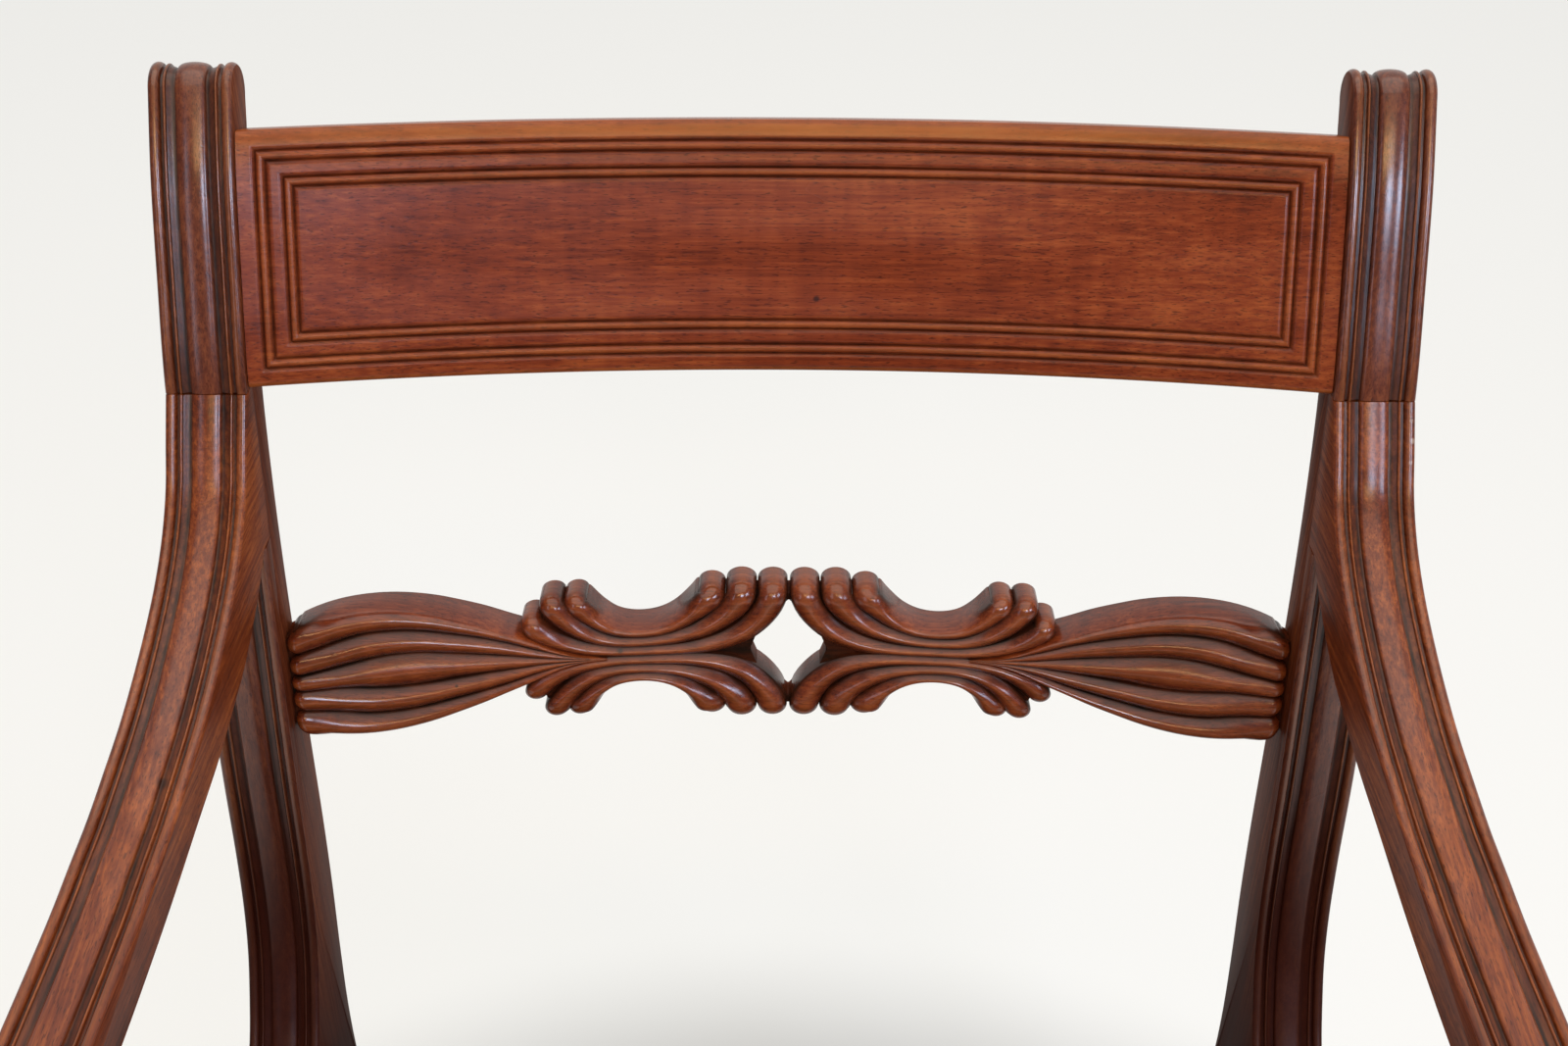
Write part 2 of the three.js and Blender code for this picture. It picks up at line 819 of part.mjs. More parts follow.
// Arms.
const armDrop = seamUp - armTop;
const armTopShares = [
  [0.1135, 0.82],
  [0.1338, 0.669],
  [0.1644, 0.528],
  [0.2026, 0.412],
  [0.2462, 0.319],
  [0.293, 0.24],
  [0.3413, 0.175],
  [0.3922, 0.128],
  [0.4423, 0.086],
  [0.4935, 0.06],
  [0.5429, 0.034],
  [0.5922, 0.019],
  [0.675, 0],
];
const armUnderShares = [
  [0.5935, 0.0505],
  [0.4956, 0.127],
  [0.3922, 0.242],
  [0.3195, 0.323],
  [0.2597, 0.438],
  [0.2286, 0.495],
  [0.1857, 0.636],
  [0.1442, 0.818],
];
const armUnder = armTop - armThickness;
const armCentreAt = (forward) =>
  stileCentre + Math.max(0, forward - frontAt(seamUp)) * Math.tan(radians(armSplayDegrees));

function arm(side) {
  const rollForward = armReach - armRollRadius;
  const rollUp = armTop - armRollRadius;
  const lift = rollUp - armUnder;
  const meetDegrees = 180 - THREE.MathUtils.radToDeg(Math.asin(lift / armRollRadius));
  const seamGap = seamUp - fit;
  const notchGap = notchUp + fit;
  const sweep = [
    [frontAt(seamGap), seamGap],
    ...armTopShares.map(([forward, up]) => [forward * armReach, armTop + up * armDrop]),
  ];
  const sweepEnd = sweep[sweep.length - 1];
  const underRise = notchUp - armUnder;
  const flatShare = 0.7;
  const under = [
    [flatShare * armReach, armUnder],
    ...armUnderShares.map(([forward, up]) => [forward * armReach, armUnder + up * underRise]),
    [frontAt(notchGap) + fit, notchGap],
  ];
  const runs = [
    {
      moulded: true,
      points: [
        ...smooth(sweep, 13),
        [(sweepEnd[0] + rollForward) / 2, armTop],
        ...arc(rollForward, rollUp, armRollRadius, 90, -meetDegrees, 10),
      ],
    },
    { moulded: false, points: smooth(under, 9) },
    {
      moulded: false,
      points: [
        [frontAt(notchUp) - armHousing + fit, notchGap],
        [frontAt(seamUp) - armHousing + fit, seamGap],
      ],
    },
  ];
  return mouldedSide(runs, side, armCentreAt, () => stileWidth);
}

// Arm supports: curved back in the middle, standing on the side rails.
const supportForward = armReach - supportSetback;
const supportLineShares = [
  [0, 0],
  [-0.55, 0.16],
  [-0.95, 0.38],
  [-1, 0.58],
  [-0.62, 0.8],
  [0, 1],
];
const supportDepthShares = [1, 0.86, 0.78, 0.76, 0.82, 0.94];

function armSupport(side) {
  const low = seatRailTop + fit;
  const high = armUnder - fit;
  const at = ([bend, rise], i, facing) => [
    supportForward + bend * supportBend + (facing * supportDepth * supportDepthShares[i]) / 2,
    lerp(low, high, rise),
  ];
  const front = supportLineShares.map((share, i) => at(share, i, 1));
  const back = supportLineShares.map((share, i) => at(share, i, -1)).reverse();
  const runs = [
    { moulded: true, level: "both", points: smooth(front, 7) },
    { moulded: false, points: smooth(back, 6) },
  ];
  return mouldedSide(runs, side, railCentreAt, () => stileWidth - 2 * fit, supportMouldingDepth);
}

// Seat rails.
function sideRail(side) {
  const from = footReach + fit;
  const to = legBack - fit;
  const runs = [
    {
      moulded: true,
      points: [
        [from, seatRailTop],
        [to, seatRailTop],
      ],
    },
    {
      moulded: false,
      points: [
        [to, seatRailBottom],
        [from, seatRailBottom],
      ],
    },
  ];
  const body = mouldedSide(runs, side, railCentreAt, () => stileWidth);
  const tenons = [
    sideRailTenon(side, footReach - tenonLength, from + overrun, 0),
    sideRailTenon(side, to - overrun, legBack + tenonLength, 0),
  ];
  return worked(body, tenons, screwHoles(side, (corner) => corner.place === "front"));
}

function frontTenon(side, grown) {
  const middle = frontRailFace - frontRailThickness / 2;
  const inner = innerFaceAt(middle);
  const from = side * (inner - overrun);
  const to = side * (inner + halfWidth / 2 + grown);
  const across = tenonThickness / 2 + grown;
  return planPrism(
    rectangle(from, middle - across, to, middle + across),
    seatRailBottom + 2 * tenonShoulder - grown,
    seatRailTop - 2 * tenonShoulder + grown,
  );
}

function frontRail() {
  const [back, front] = [frontRailBack, frontRailFace];
  const outline = [
    [-(innerFaceAt(back) - fit), back],
    [innerFaceAt(back) - fit, back],
    [innerFaceAt(front) - fit, front],
    [-(innerFaceAt(front) - fit), front],
  ];
  const body = planPrism(outline, seatRailBottom, seatRailTop);
  const holes = sides.map(({ side }) => blockScrew(corners[0], side, true, fit));
  return worked(body, [frontTenon(1, 0), frontTenon(-1, 0)], holes);
}

const backRailTop = seatRailTop - backRailDrop;
function backRailTenon(side, grown) {
  const middle = backRailForward + backRailThickness / 2;
  const height = backRailTop - seatRailBottom - 2 * tenonShoulder;
  const up = (backRailTop + seatRailBottom) / 2;
  return crossTenon(side, middle, up, 0, height, tenonThickness, grown);
}

function backRail() {
  const outline = rectangle(-railHalf, backRailForward, railHalf, backRailFront);
  const body = planPrism(outline, seatRailBottom, backRailTop);
  const holes = sides.map(({ side }) => blockScrew(corners[1], side, true, fit));
  return worked(body, [backRailTenon(1, 0), backRailTenon(-1, 0)], holes);
}

// Front legs.
const frontLegFaceShares = [
  [-0.12, 1],
  [0, 0.985],
  [0.03, 0.94],
  [-0.02, 0.86],
  [-0.13, 0.75],
  [-0.23, 0.63],
  [-0.18, 0.49],
  [0.03, 0.34],
  [0.36, 0.19],
  [0.72, 0.08],
  [1, 0],
];
const frontLegBackShares = [
  [0.3, 0],
  [0.02, 0.08],
  [-0.36, 0.19],
  [-0.72, 0.34],
  [-0.95, 0.49],
  [-1.02, 0.63],
  [-0.96, 0.75],
  [-0.88, 0.84],
];

function frontLeg(side) {
  const at = ([forward, up]) => [frontRailFace + forward * frontFootReach, up * seatRailTop];
  const runs = [
    { moulded: true, level: "last", points: [[legBack, seatRailTop], ...smooth(frontLegFaceShares.map(at), 10)] },
    { moulded: false, points: smooth(frontLegBackShares.map(at), 7) },
    { moulded: false, points: [[legBack, seatRailBottom]] },
  ];
  const body = mouldedSide(runs, side, railCentreAt, taperAt);
  const mortises = [sideRailTenon(side, legBack - overrun, legBack + tenonLength, fit), frontTenon(side, fit)];
  return worked(body, [], mortises);
}

// Ledger strips inside the seat rails, and the corner blocks under them.
function sideLedger(side) {
  const from = backRailFront + ledgerSize + 2 * fit;
  const to = frontRailBack - ledgerSize - 2 * fit;
  const outerAt = (forward) => side * (innerFaceAt(forward) - fit);
  const innerAt = (forward) => side * (innerFaceAt(forward) - fit - ledgerSize);
  const places = [from, footReach, to];
  const outline = [
    ...places.map((forward) => [outerAt(forward), forward]),
    ...[...places].reverse().map((forward) => [innerAt(forward), forward]),
  ];
  return planPrism(outline, ledgerTop - ledgerSize, ledgerTop);
}

function crossLedger(from, to) {
  const x = innerFaceAt((from + to) / 2) - 2 * fit;
  return planPrism(rectangle(-x, from, x, to), ledgerTop - ledgerSize, ledgerTop);
}

function cornerBlock(corner, side) {
  const reach = corner.forward + corner.way * blockLeg;
  const inner = (forward) => side * (Math.min(innerFaceAt(forward), innerFaceAt(corner.forward)) - fit);
  const outline = [
    [inner(corner.forward), corner.forward],
    [inner(corner.forward) - side * blockLeg, corner.forward],
    [inner(reach), reach],
  ];
  const body = planPrism(outline, blockTop - blockHeight, blockTop);
  return worked(body, [], [blockScrew(corner, side, true, fit), blockScrew(corner, side, false, fit)]);
}

// Drop-in seat. Its plan is a trapezium that follows the rails with the seat's play.
const seat = new THREE.Group();
const seatLow = ledgerTop + fit;
const seatRear = backRailFront + seatPlay;
const seatFront = frontRailBack - seatPlay;
const seatHalfAt = (forward, inset) =>
  stileCentre - halfWidth + (forward - footReach) * Math.tan(radians(seatSplayDegrees)) - seatPlay - inset;
const seatEdges = (inset) => {
  const rear = seatRear + inset;
  const front = seatFront - inset;
  return { rear, front, halfRear: seatHalfAt(rear, inset), halfFront: seatHalfAt(front, inset) };
};

const cornerSteps = 4;
const edgeSteps = 5;
// Plan outline of the seat with rounded corners, drawn in by an inset.
function seatPlan(inset) {
  const { rear, front } = seatEdges(inset);
  const radius = Math.max(fit, seatCornerRadius - inset);
  const quarterTurn = 90;
  const centreX = (forward) => seatHalfAt(forward, inset) - radius;
  const turns = [
    { x: centreX(front - radius), forward: front - radius, from: 0 },
    { x: -centreX(front - radius), forward: front - radius, from: quarterTurn },
    { x: -centreX(rear + radius), forward: rear + radius, from: 2 * quarterTurn },
    { x: centreX(rear + radius), forward: rear + radius, from: 3 * quarterTurn },
  ];
  const bends = turns.map(({ x, forward, from }) => arc(x, forward, radius, from, from + quarterTurn, cornerSteps));
  return bends.flatMap((bend, i) => {
    const [ax, af] = bend[bend.length - 1];
    const [bx, bf] = bends[(i + 1) % bends.length][0];
    const between = Array.from({ length: edgeSteps - 1 }, (_, k) => {
      const share = (k + 1) / edgeSteps;
      return [lerp(ax, bx, share), lerp(af, bf, share)];
    });
    return [...bend, ...between];
  });
}

const frameInset = coverThickness + fit;
const frameLow = seatLow + coverThickness + fit;
const frameTop = frameLow + seatFrameThickness;
const webbingMiddle = frameTop + fit + webbingWave + webbingThickness / 2;
const hessianLow = webbingMiddle + webbingWave + webbingThickness / 2 + fit;
const padLow = hessianLow + hessianThickness + fit;
const padTop = padLow + padEdge;

// Height of the pad over its rim, by how far a point lies from the middle to the edge.
const crownPower = 2.4;
const padHeight = (share) => padTop + padCrown * (1 - share ** crownPower);
const crownRingShares = [0.25, 0.5, 0.7, 0.84, 0.93, 0.98];
const seatMiddle = (seatRear + seatFront) / 2;

function ring(plan, share, upAt) {
  return plan.map(
    ([x, forward]) => new THREE.Vector3(x * share, -lerp(seatMiddle, forward, share), upAt),
  );
}

function seatPad() {
  const plan = seatPlan(frameInset);
  const rimShare = 0.985;
  const rings = [
    ...crownRingShares.map((share) => ring(plan, share, padHeight(share))),
    ring(plan, 1, padTop),
    ring(plan, rimShare, padLow),
    ring(plan, 1 / 2, padLow),
  ];
  const first = new THREE.Vector3(0, -seatMiddle, padHeight(0));
  return poleLoft(first, rings, new THREE.Vector3(0, -seatMiddle, padLow));
}

function seatCover() {
  const outer = seatPlan(0);
  const inner = seatPlan(coverThickness);
  const turnedOuter = seatPlan(coverTurnUnder);
  const skin = coverThickness + fit;
  const underTop = seatLow + coverThickness;
  const shellRings = [
    ...crownRingShares.map((share) => ring(outer, share, padHeight(share) + skin)),
    ring(outer, 1, padTop),
    ring(outer, 1, seatLow),
    ring(turnedOuter, 1, seatLow),
    ring(turnedOuter, 1, underTop),
    ring(inner, 1, underTop),
    ring(inner, 1, padTop + fit / 2),
    ...[...crownRingShares].reverse().map((share) => ring(inner, share, padHeight(share) + fit)),
  ];
  const first = new THREE.Vector3(0, -seatMiddle, padHeight(0) + skin);
  const last = new THREE.Vector3(0, -seatMiddle, padHeight(0) + fit);
  return poleLoft(first, shellRings, last);
}

function seatHessian() {
  const { rear, front, halfRear, halfFront } = seatEdges(frameInset + seatCornerRadius);
  const outline = [
    [-halfRear, rear],
    [halfRear, rear],
    [halfFront, front],
    [-halfFront, front],
  ];
  return planPrism(outline, hessianLow, hessianLow + hessianThickness);
}

function seatFrameCross(from, to) {
  const outline = [
    [-seatHalfAt(from, frameInset), from],
    [seatHalfAt(from, frameInset), from],
    [seatHalfAt(to, frameInset), to],
    [-seatHalfAt(to, frameInset), to],
  ];
  const member = solidOf(planPrism(outline, frameLow, frameTop));
  const rounded = solidOf(planPrism(seatPlan(frameInset), frameLow - overrun, frameTop + overrun));
  return geometryOfSolid(member.intersect(rounded));
}

function seatFrameSide(side) {
  const from = seatRear + frameInset + seatFrameWidth + fit;
  const to = seatFront - frameInset - seatFrameWidth - fit;
  const outline = [
    [side * seatHalfAt(from, frameInset), from],
    [side * seatHalfAt(to, frameInset), to],
    [side * (seatHalfAt(to, frameInset) - seatFrameWidth), to],
    [side * (seatHalfAt(from, frameInset) - seatFrameWidth), from],
  ];
  return planPrism(outline, frameLow, frameTop);
}

// Interlaced webbing. Straps rise over one crossing and dip under the next.
const lapShare = 0.62; // of a frame member's width that a strap covers
const longPlaces = Array.from({ length: longStraps }, (_, i) => (i - (longStraps - 1) / 2) * longPitch);
const crossPlaces = Array.from(
  { length: crossStraps },
  (_, i) => seatMiddle + (i - (crossStraps - 1) / 2) * crossPitch,
);

function strapRun(from, to, places, startOver) {
  const run = [[from, 0]];
  places.forEach((place, i) => {
    const over = (i % 2 === 0) === startOver ? 1 : -1;
    run.push([place - webbingWidth / 2, over], [place + webbingWidth / 2, over]);
  });
  run.push([to, 0]);
  return run;
}

function strap(run, placeAt) {
  const half = webbingThickness / 2 - fit / 2;
  const rings = run.map(([along, over]) => {
    const middle = webbingMiddle + over * webbingWave;
    return rectangle(-webbingWidth / 2, middle - half, webbingWidth / 2, middle + half).map(([across, up]) =>
      placeAt(along, across, up),
    );
  });
  return rings;
}

function longStrap(i) {
  const from = seatRear + frameInset + seatFrameWidth * (1 - lapShare);
  const to = seatFront - frameInset - seatFrameWidth * (1 - lapShare);
  const run = strapRun(from, to, crossPlaces, i % 2 === 0);
  return loft(
    strap(run, (along, across, up) => new THREE.Vector3(longPlaces[i] + across, -along, up)),
    "x",
    "z",
  );
}

function crossStrap(i) {
  const half = seatHalfAt(crossPlaces[i], frameInset) - seatFrameWidth * (1 - lapShare);
  const run = strapRun(-half, half, longPlaces, i % 2 !== 0);
  return loft(strap(run, (along, across, up) => new THREE.Vector3(along, -(crossPlaces[i] + across), up)));
}

for (const { name, side } of sides) {
  addNode(`stile_${name}`, stile(side), mahogany);
  addNode(`arm_${name}`, arm(side), mahogany);
  addNode(`arm_support_${name}`, armSupport(side), mahogany);
  addNode(`side_rail_${name}`, sideRail(side), mahogany);
  addNode(`front_leg_${name}`, frontLeg(side), mahogany);
  addNode(`ledger_${name}`, sideLedger(side), beech);
  addNode(`seat_frame_${name}`, seatFrameSide(side), beech, seat);
  for (const corner of corners) {
    addNode(`corner_block_${corner.place}_${name}`, cornerBlock(corner, side), beech);
    addNode(`screw_${corner.place}_${name}_rail`, blockScrew(corner, side, true, 0), steel);
    addNode(`screw_${corner.place}_${name}_side`, blockScrew(corner, side, false, 0), steel);
  }
}
addNode("crest_rail", crestRail(), mahogany);
addNode("mid_rail", midRail(), mahogany);
addNode("back_rail", backRail(), mahogany);
addNode("front_rail", frontRail(), mahogany);
addNode("ledger_back", crossLedger(backRailFront + fit, backRailFront + fit + ledgerSize), beech);
addNode("ledger_front", crossLedger(frontRailBack - fit - ledgerSize, frontRailBack - fit), beech);

const frameRear = seatRear + frameInset;
const frameFront = seatFront - frameInset;
addNode("seat_frame_back", seatFrameCross(frameRear, frameRear + seatFrameWidth), beech, seat);
addNode("seat_frame_front", seatFrameCross(frameFront - seatFrameWidth, frameFront), beech, seat);
longPlaces.forEach((_, i) => addNode(`webbing_long_${i + 1}`, longStrap(i), jute, seat));
crossPlaces.forEach((_, i) => addNode(`webbing_cross_${i + 1}`, crossStrap(i), jute, seat));
addNode("seat_hessian", seatHessian(), jute, seat);
addNode("seat_pad", seatPad(), stuffing, seat);
addNode("seat_cover", seatCover(), leather, seat);
chair.add(seat);

// The origin is under the middle of the whole chair.
chair.updateMatrixWorld(true);
chair.position.y = -new THREE.Box3().setFromObject(chair).getCenter(new THREE.Vector3()).y;

export default chair;
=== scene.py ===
"""Looks of a Regency style mahogany open armchair: French polished frame, carved mid rail, leather seat.

Lengths in the classes are millimetres. Side outlines are (forward, up) points, where forward is 0 at the
front of the stiles beside the crest rail's top and grows towards the sitter's knees. Meshes are made in
metres, in the row frame: +X is the sitter's left hand, the chair faces -Y and +Z is up.
"""

import json
import logging
import math
from dataclasses import dataclass, field
from enum import Enum
from typing import ClassVar, Sequence

import bmesh
import bpy
import numpy as np
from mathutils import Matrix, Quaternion, Vector
from mathutils.bvhtree import BVHTree

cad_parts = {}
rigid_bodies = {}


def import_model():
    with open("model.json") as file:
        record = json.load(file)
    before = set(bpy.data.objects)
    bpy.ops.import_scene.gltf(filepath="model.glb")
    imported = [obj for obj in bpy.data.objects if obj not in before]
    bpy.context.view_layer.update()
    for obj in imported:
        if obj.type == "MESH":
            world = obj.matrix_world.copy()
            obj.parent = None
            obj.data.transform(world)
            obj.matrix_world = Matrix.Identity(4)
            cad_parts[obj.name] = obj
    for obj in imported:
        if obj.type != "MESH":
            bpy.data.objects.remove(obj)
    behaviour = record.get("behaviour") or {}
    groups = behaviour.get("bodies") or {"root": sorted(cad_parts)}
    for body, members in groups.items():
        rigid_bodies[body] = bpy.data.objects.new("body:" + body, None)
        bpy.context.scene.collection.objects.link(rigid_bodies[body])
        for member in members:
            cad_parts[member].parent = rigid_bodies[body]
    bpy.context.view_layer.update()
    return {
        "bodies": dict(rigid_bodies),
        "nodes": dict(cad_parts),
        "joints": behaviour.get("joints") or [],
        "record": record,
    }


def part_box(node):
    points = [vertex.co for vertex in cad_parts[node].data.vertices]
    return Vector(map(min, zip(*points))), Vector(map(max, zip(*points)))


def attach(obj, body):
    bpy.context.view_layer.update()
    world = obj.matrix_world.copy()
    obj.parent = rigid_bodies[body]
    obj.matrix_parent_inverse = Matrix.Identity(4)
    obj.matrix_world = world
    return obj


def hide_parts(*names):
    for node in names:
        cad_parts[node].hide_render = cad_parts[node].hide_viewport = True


LOG = logging.getLogger("armchair")
MM = 0.001
FRAME_BODY = "chair_frame"
SEAT_BODY = "seat"
FIT = 0.3  # The play between two neighbouring pieces.
SMOOTH_DEGREES = 40.0  # Faces that meet at less than this shade as one surface.
SHARP_DEGREES = 62.0  # Edges that turn by more than this are rounded.
Pair = tuple[float, float]
Point = tuple[float, float, float]
Socket = bpy.types.NodeSocket


class Side(Enum):
    """A side of the chair, as its sitter names it, and the way it lies along X."""

    LEFT = 1
    RIGHT = -1

    @property
    def word(self) -> str:
        """The side's name in node names."""
        return self.name.lower()


class Grain(Enum):
    """The way the wood's grain runs, as turns about X, Y and Z that bring it onto the texture's X."""

    ACROSS = (0.0, 0.0, 0.0)
    STILE = (0.0, 90.0, 4.0)
    ARM = (0.0, 0.0, 90.0)


def linear(shade: str) -> tuple[float, float, float, float]:
    """Turns an sRGB hex shade to linear.

    Args:
        shade: Six hex digits.

    Returns:
        Red, green, blue and alpha.
    """
    values = [int(shade[i : i + 2], 16) / 255 for i in (0, 2, 4)]
    low = [v / 12.92 if v <= 0.04045 else ((v + 0.055) / 1.055) ** 2.4 for v in values]
    return low[0], low[1], low[2], 1.0


def add_node(
    tree: bpy.types.NodeTree, kind: str, inputs: dict | None = None, **settings: object
) -> bpy.types.Node:
    """Adds a node.

    Args:
        tree: The node tree.
        kind: The node's type.
        inputs: What each input gets, by its name or number: a socket to link or a plain value.
        settings: Values of the node's own properties.

    Returns:
        The new node.
    """
    node = tree.nodes.new(kind)
    for name, value in settings.items():
        setattr(node, name, value)
    for name, value in (inputs or {}).items():
        if isinstance(value, Socket):
            tree.links.new(value, node.inputs[name])
        else:
            node.inputs[name].default_value = value
    return node


def new_material(name: str) -> tuple[bpy.types.Material, bpy.types.NodeTree]:
    """Makes a material without nodes.

    Args:
        name: The material's name.

    Returns:
        The material and its empty node tree.
    """
    material = bpy.data.materials.new(name)
    material.use_nodes = True
    material.node_tree.nodes.clear()
    return material, material.node_tree


def coated(material: bpy.types.Material, inputs: dict) -> bpy.types.Material:
    """Puts a principled shader on a material's output.

    Args:
        material: The material.
        inputs: What each of the shader's inputs gets.

    Returns:
        The material.
    """
    shader = add_node(material.node_tree, "ShaderNodeBsdfPrincipled", inputs)
    add_node(material.node_tree, "ShaderNodeOutputMaterial", {"Surface": shader.outputs[0]})
    return material


def maths(tree: bpy.types.NodeTree, operation: str, *inputs: Socket | float, clamp: bool = False) -> Socket:
    """Adds a math node.

    Args:
        tree: The node tree.
        operation: What it does.
        inputs: Its inputs in order.
        clamp: Whether the result is cut to the stretch from 0 to 1.

    Returns:
        The result's socket.
    """
    values = dict(enumerate(inputs))
    return add_node(tree, "ShaderNodeMath", values, operation=operation, use_clamp=clamp).outputs[0]


def mapped(
    tree: bpy.types.NodeTree, source: Socket, span: Pair, onto: Pair = (0.0, 1.0), soft: bool = False
) -> Socket:
    """Maps a span of values onto another and cuts off what lies outside.

    Args:
        tree: The node tree.
        source: The socket with the values.
        span: The values that become the ends of the other span.
        onto: What they become.
        soft: Whether it eases in and out.

    Returns:
        The mapped values' socket.
    """
    inputs = {0: source, 1: span[0], 2: span[1], 3: onto[0], 4: onto[1]}
    way = "SMOOTHSTEP" if soft else "LINEAR"
    return add_node(tree, "ShaderNodeMapRange", inputs, interpolation_type=way).outputs[0]


def noise(
    tree: bpy.types.NodeTree, place: Socket, scale: float, detail: float, roughness: float = 0.5
) -> Socket:
    """Adds noise.

    Args:
        tree: The node tree.
        place: The socket with the place.
        scale: How many spots fit a metre.
        detail: How many finer layers it has.
        roughness: How strong they are.

    Returns:
        The noise's socket.
    """
    inputs = {"Vector": place, "Scale": scale, "Detail": detail, "Roughness": roughness}
    return add_node(tree, "ShaderNodeTexNoise", inputs).outputs[0]


def drawn_out(
    tree: bpy.types.NodeTree, place: Socket, size: Pair, detail: float, roughness: float = 0.5
) -> Socket:
    """Adds noise that is drawn out along X, from the length and width of its spots in millimetres."""
    scale = (1 / (size[0] * MM), 1 / (size[1] * MM), 1 / (size[1] * MM))
    scaled = add_node(tree, "ShaderNodeVectorMath", {0: place, 1: scale}, operation="MULTIPLY")
    return noise(tree, scaled.outputs[0], 1.0, detail, roughness)


def distance(tree: bpy.types.NodeTree, place: Socket, centre: Point) -> Socket:
    """Adds the distance of each place from a centre, in metres."""
    return add_node(
        tree, "ShaderNodeVectorMath", {0: place, 1: centre}, operation="DISTANCE"
    ).outputs["Value"]


def painted(tree: bpy.types.NodeTree, mark: str) -> Socket:
    """Adds the values that a mesh brings along under a mark's name."""
    return add_node(tree, "ShaderNodeAttribute", attribute_name=mark).outputs["Fac"]


def bumped(tree: bpy.types.NodeTree, height: Socket, strength: float, depth: float) -> Socket:
    """Adds bumps of a height, with a depth in metres."""
    inputs = {"Height": height, "Strength": strength, "Distance": depth}
    return add_node(tree, "ShaderNodeBump", inputs).outputs[0]


def ramp(tree: bpy.types.NodeTree, source: Socket, stops: Sequence[tuple[float, str]]) -> Socket:
    """Adds a colour ramp.

    Args:
        tree: The node tree.
        source: The socket that drives it.
        stops: Places and sRGB shades.

    Returns:
        The colour's socket.
    """
    node = add_node(tree, "ShaderNodeValToRGB", {"Fac": source})
    line = node.color_ramp.elements
    while len(line) < len(stops):
        line.new(0.5)
    for element, (place, shade) in zip(line, stops):
        element.position = place
        element.color = linear(shade)
    return node.outputs[0]


def tinted(tree: bpy.types.NodeTree, share: Socket, colour: Socket, shade: str) -> Socket:
    """Blends an sRGB shade into a colour by a share.

    Args:
        tree: The node tree.
        share: The socket with the shade's share.
        colour: The colour's socket.
        shade: Six hex digits.

    Returns:
        The blended colour's socket.
    """
    inputs = {0: share, 6: colour, 7: linear(shade)}
    return add_node(tree, "ShaderNodeMix", inputs, data_type="RGBA").outputs[2]


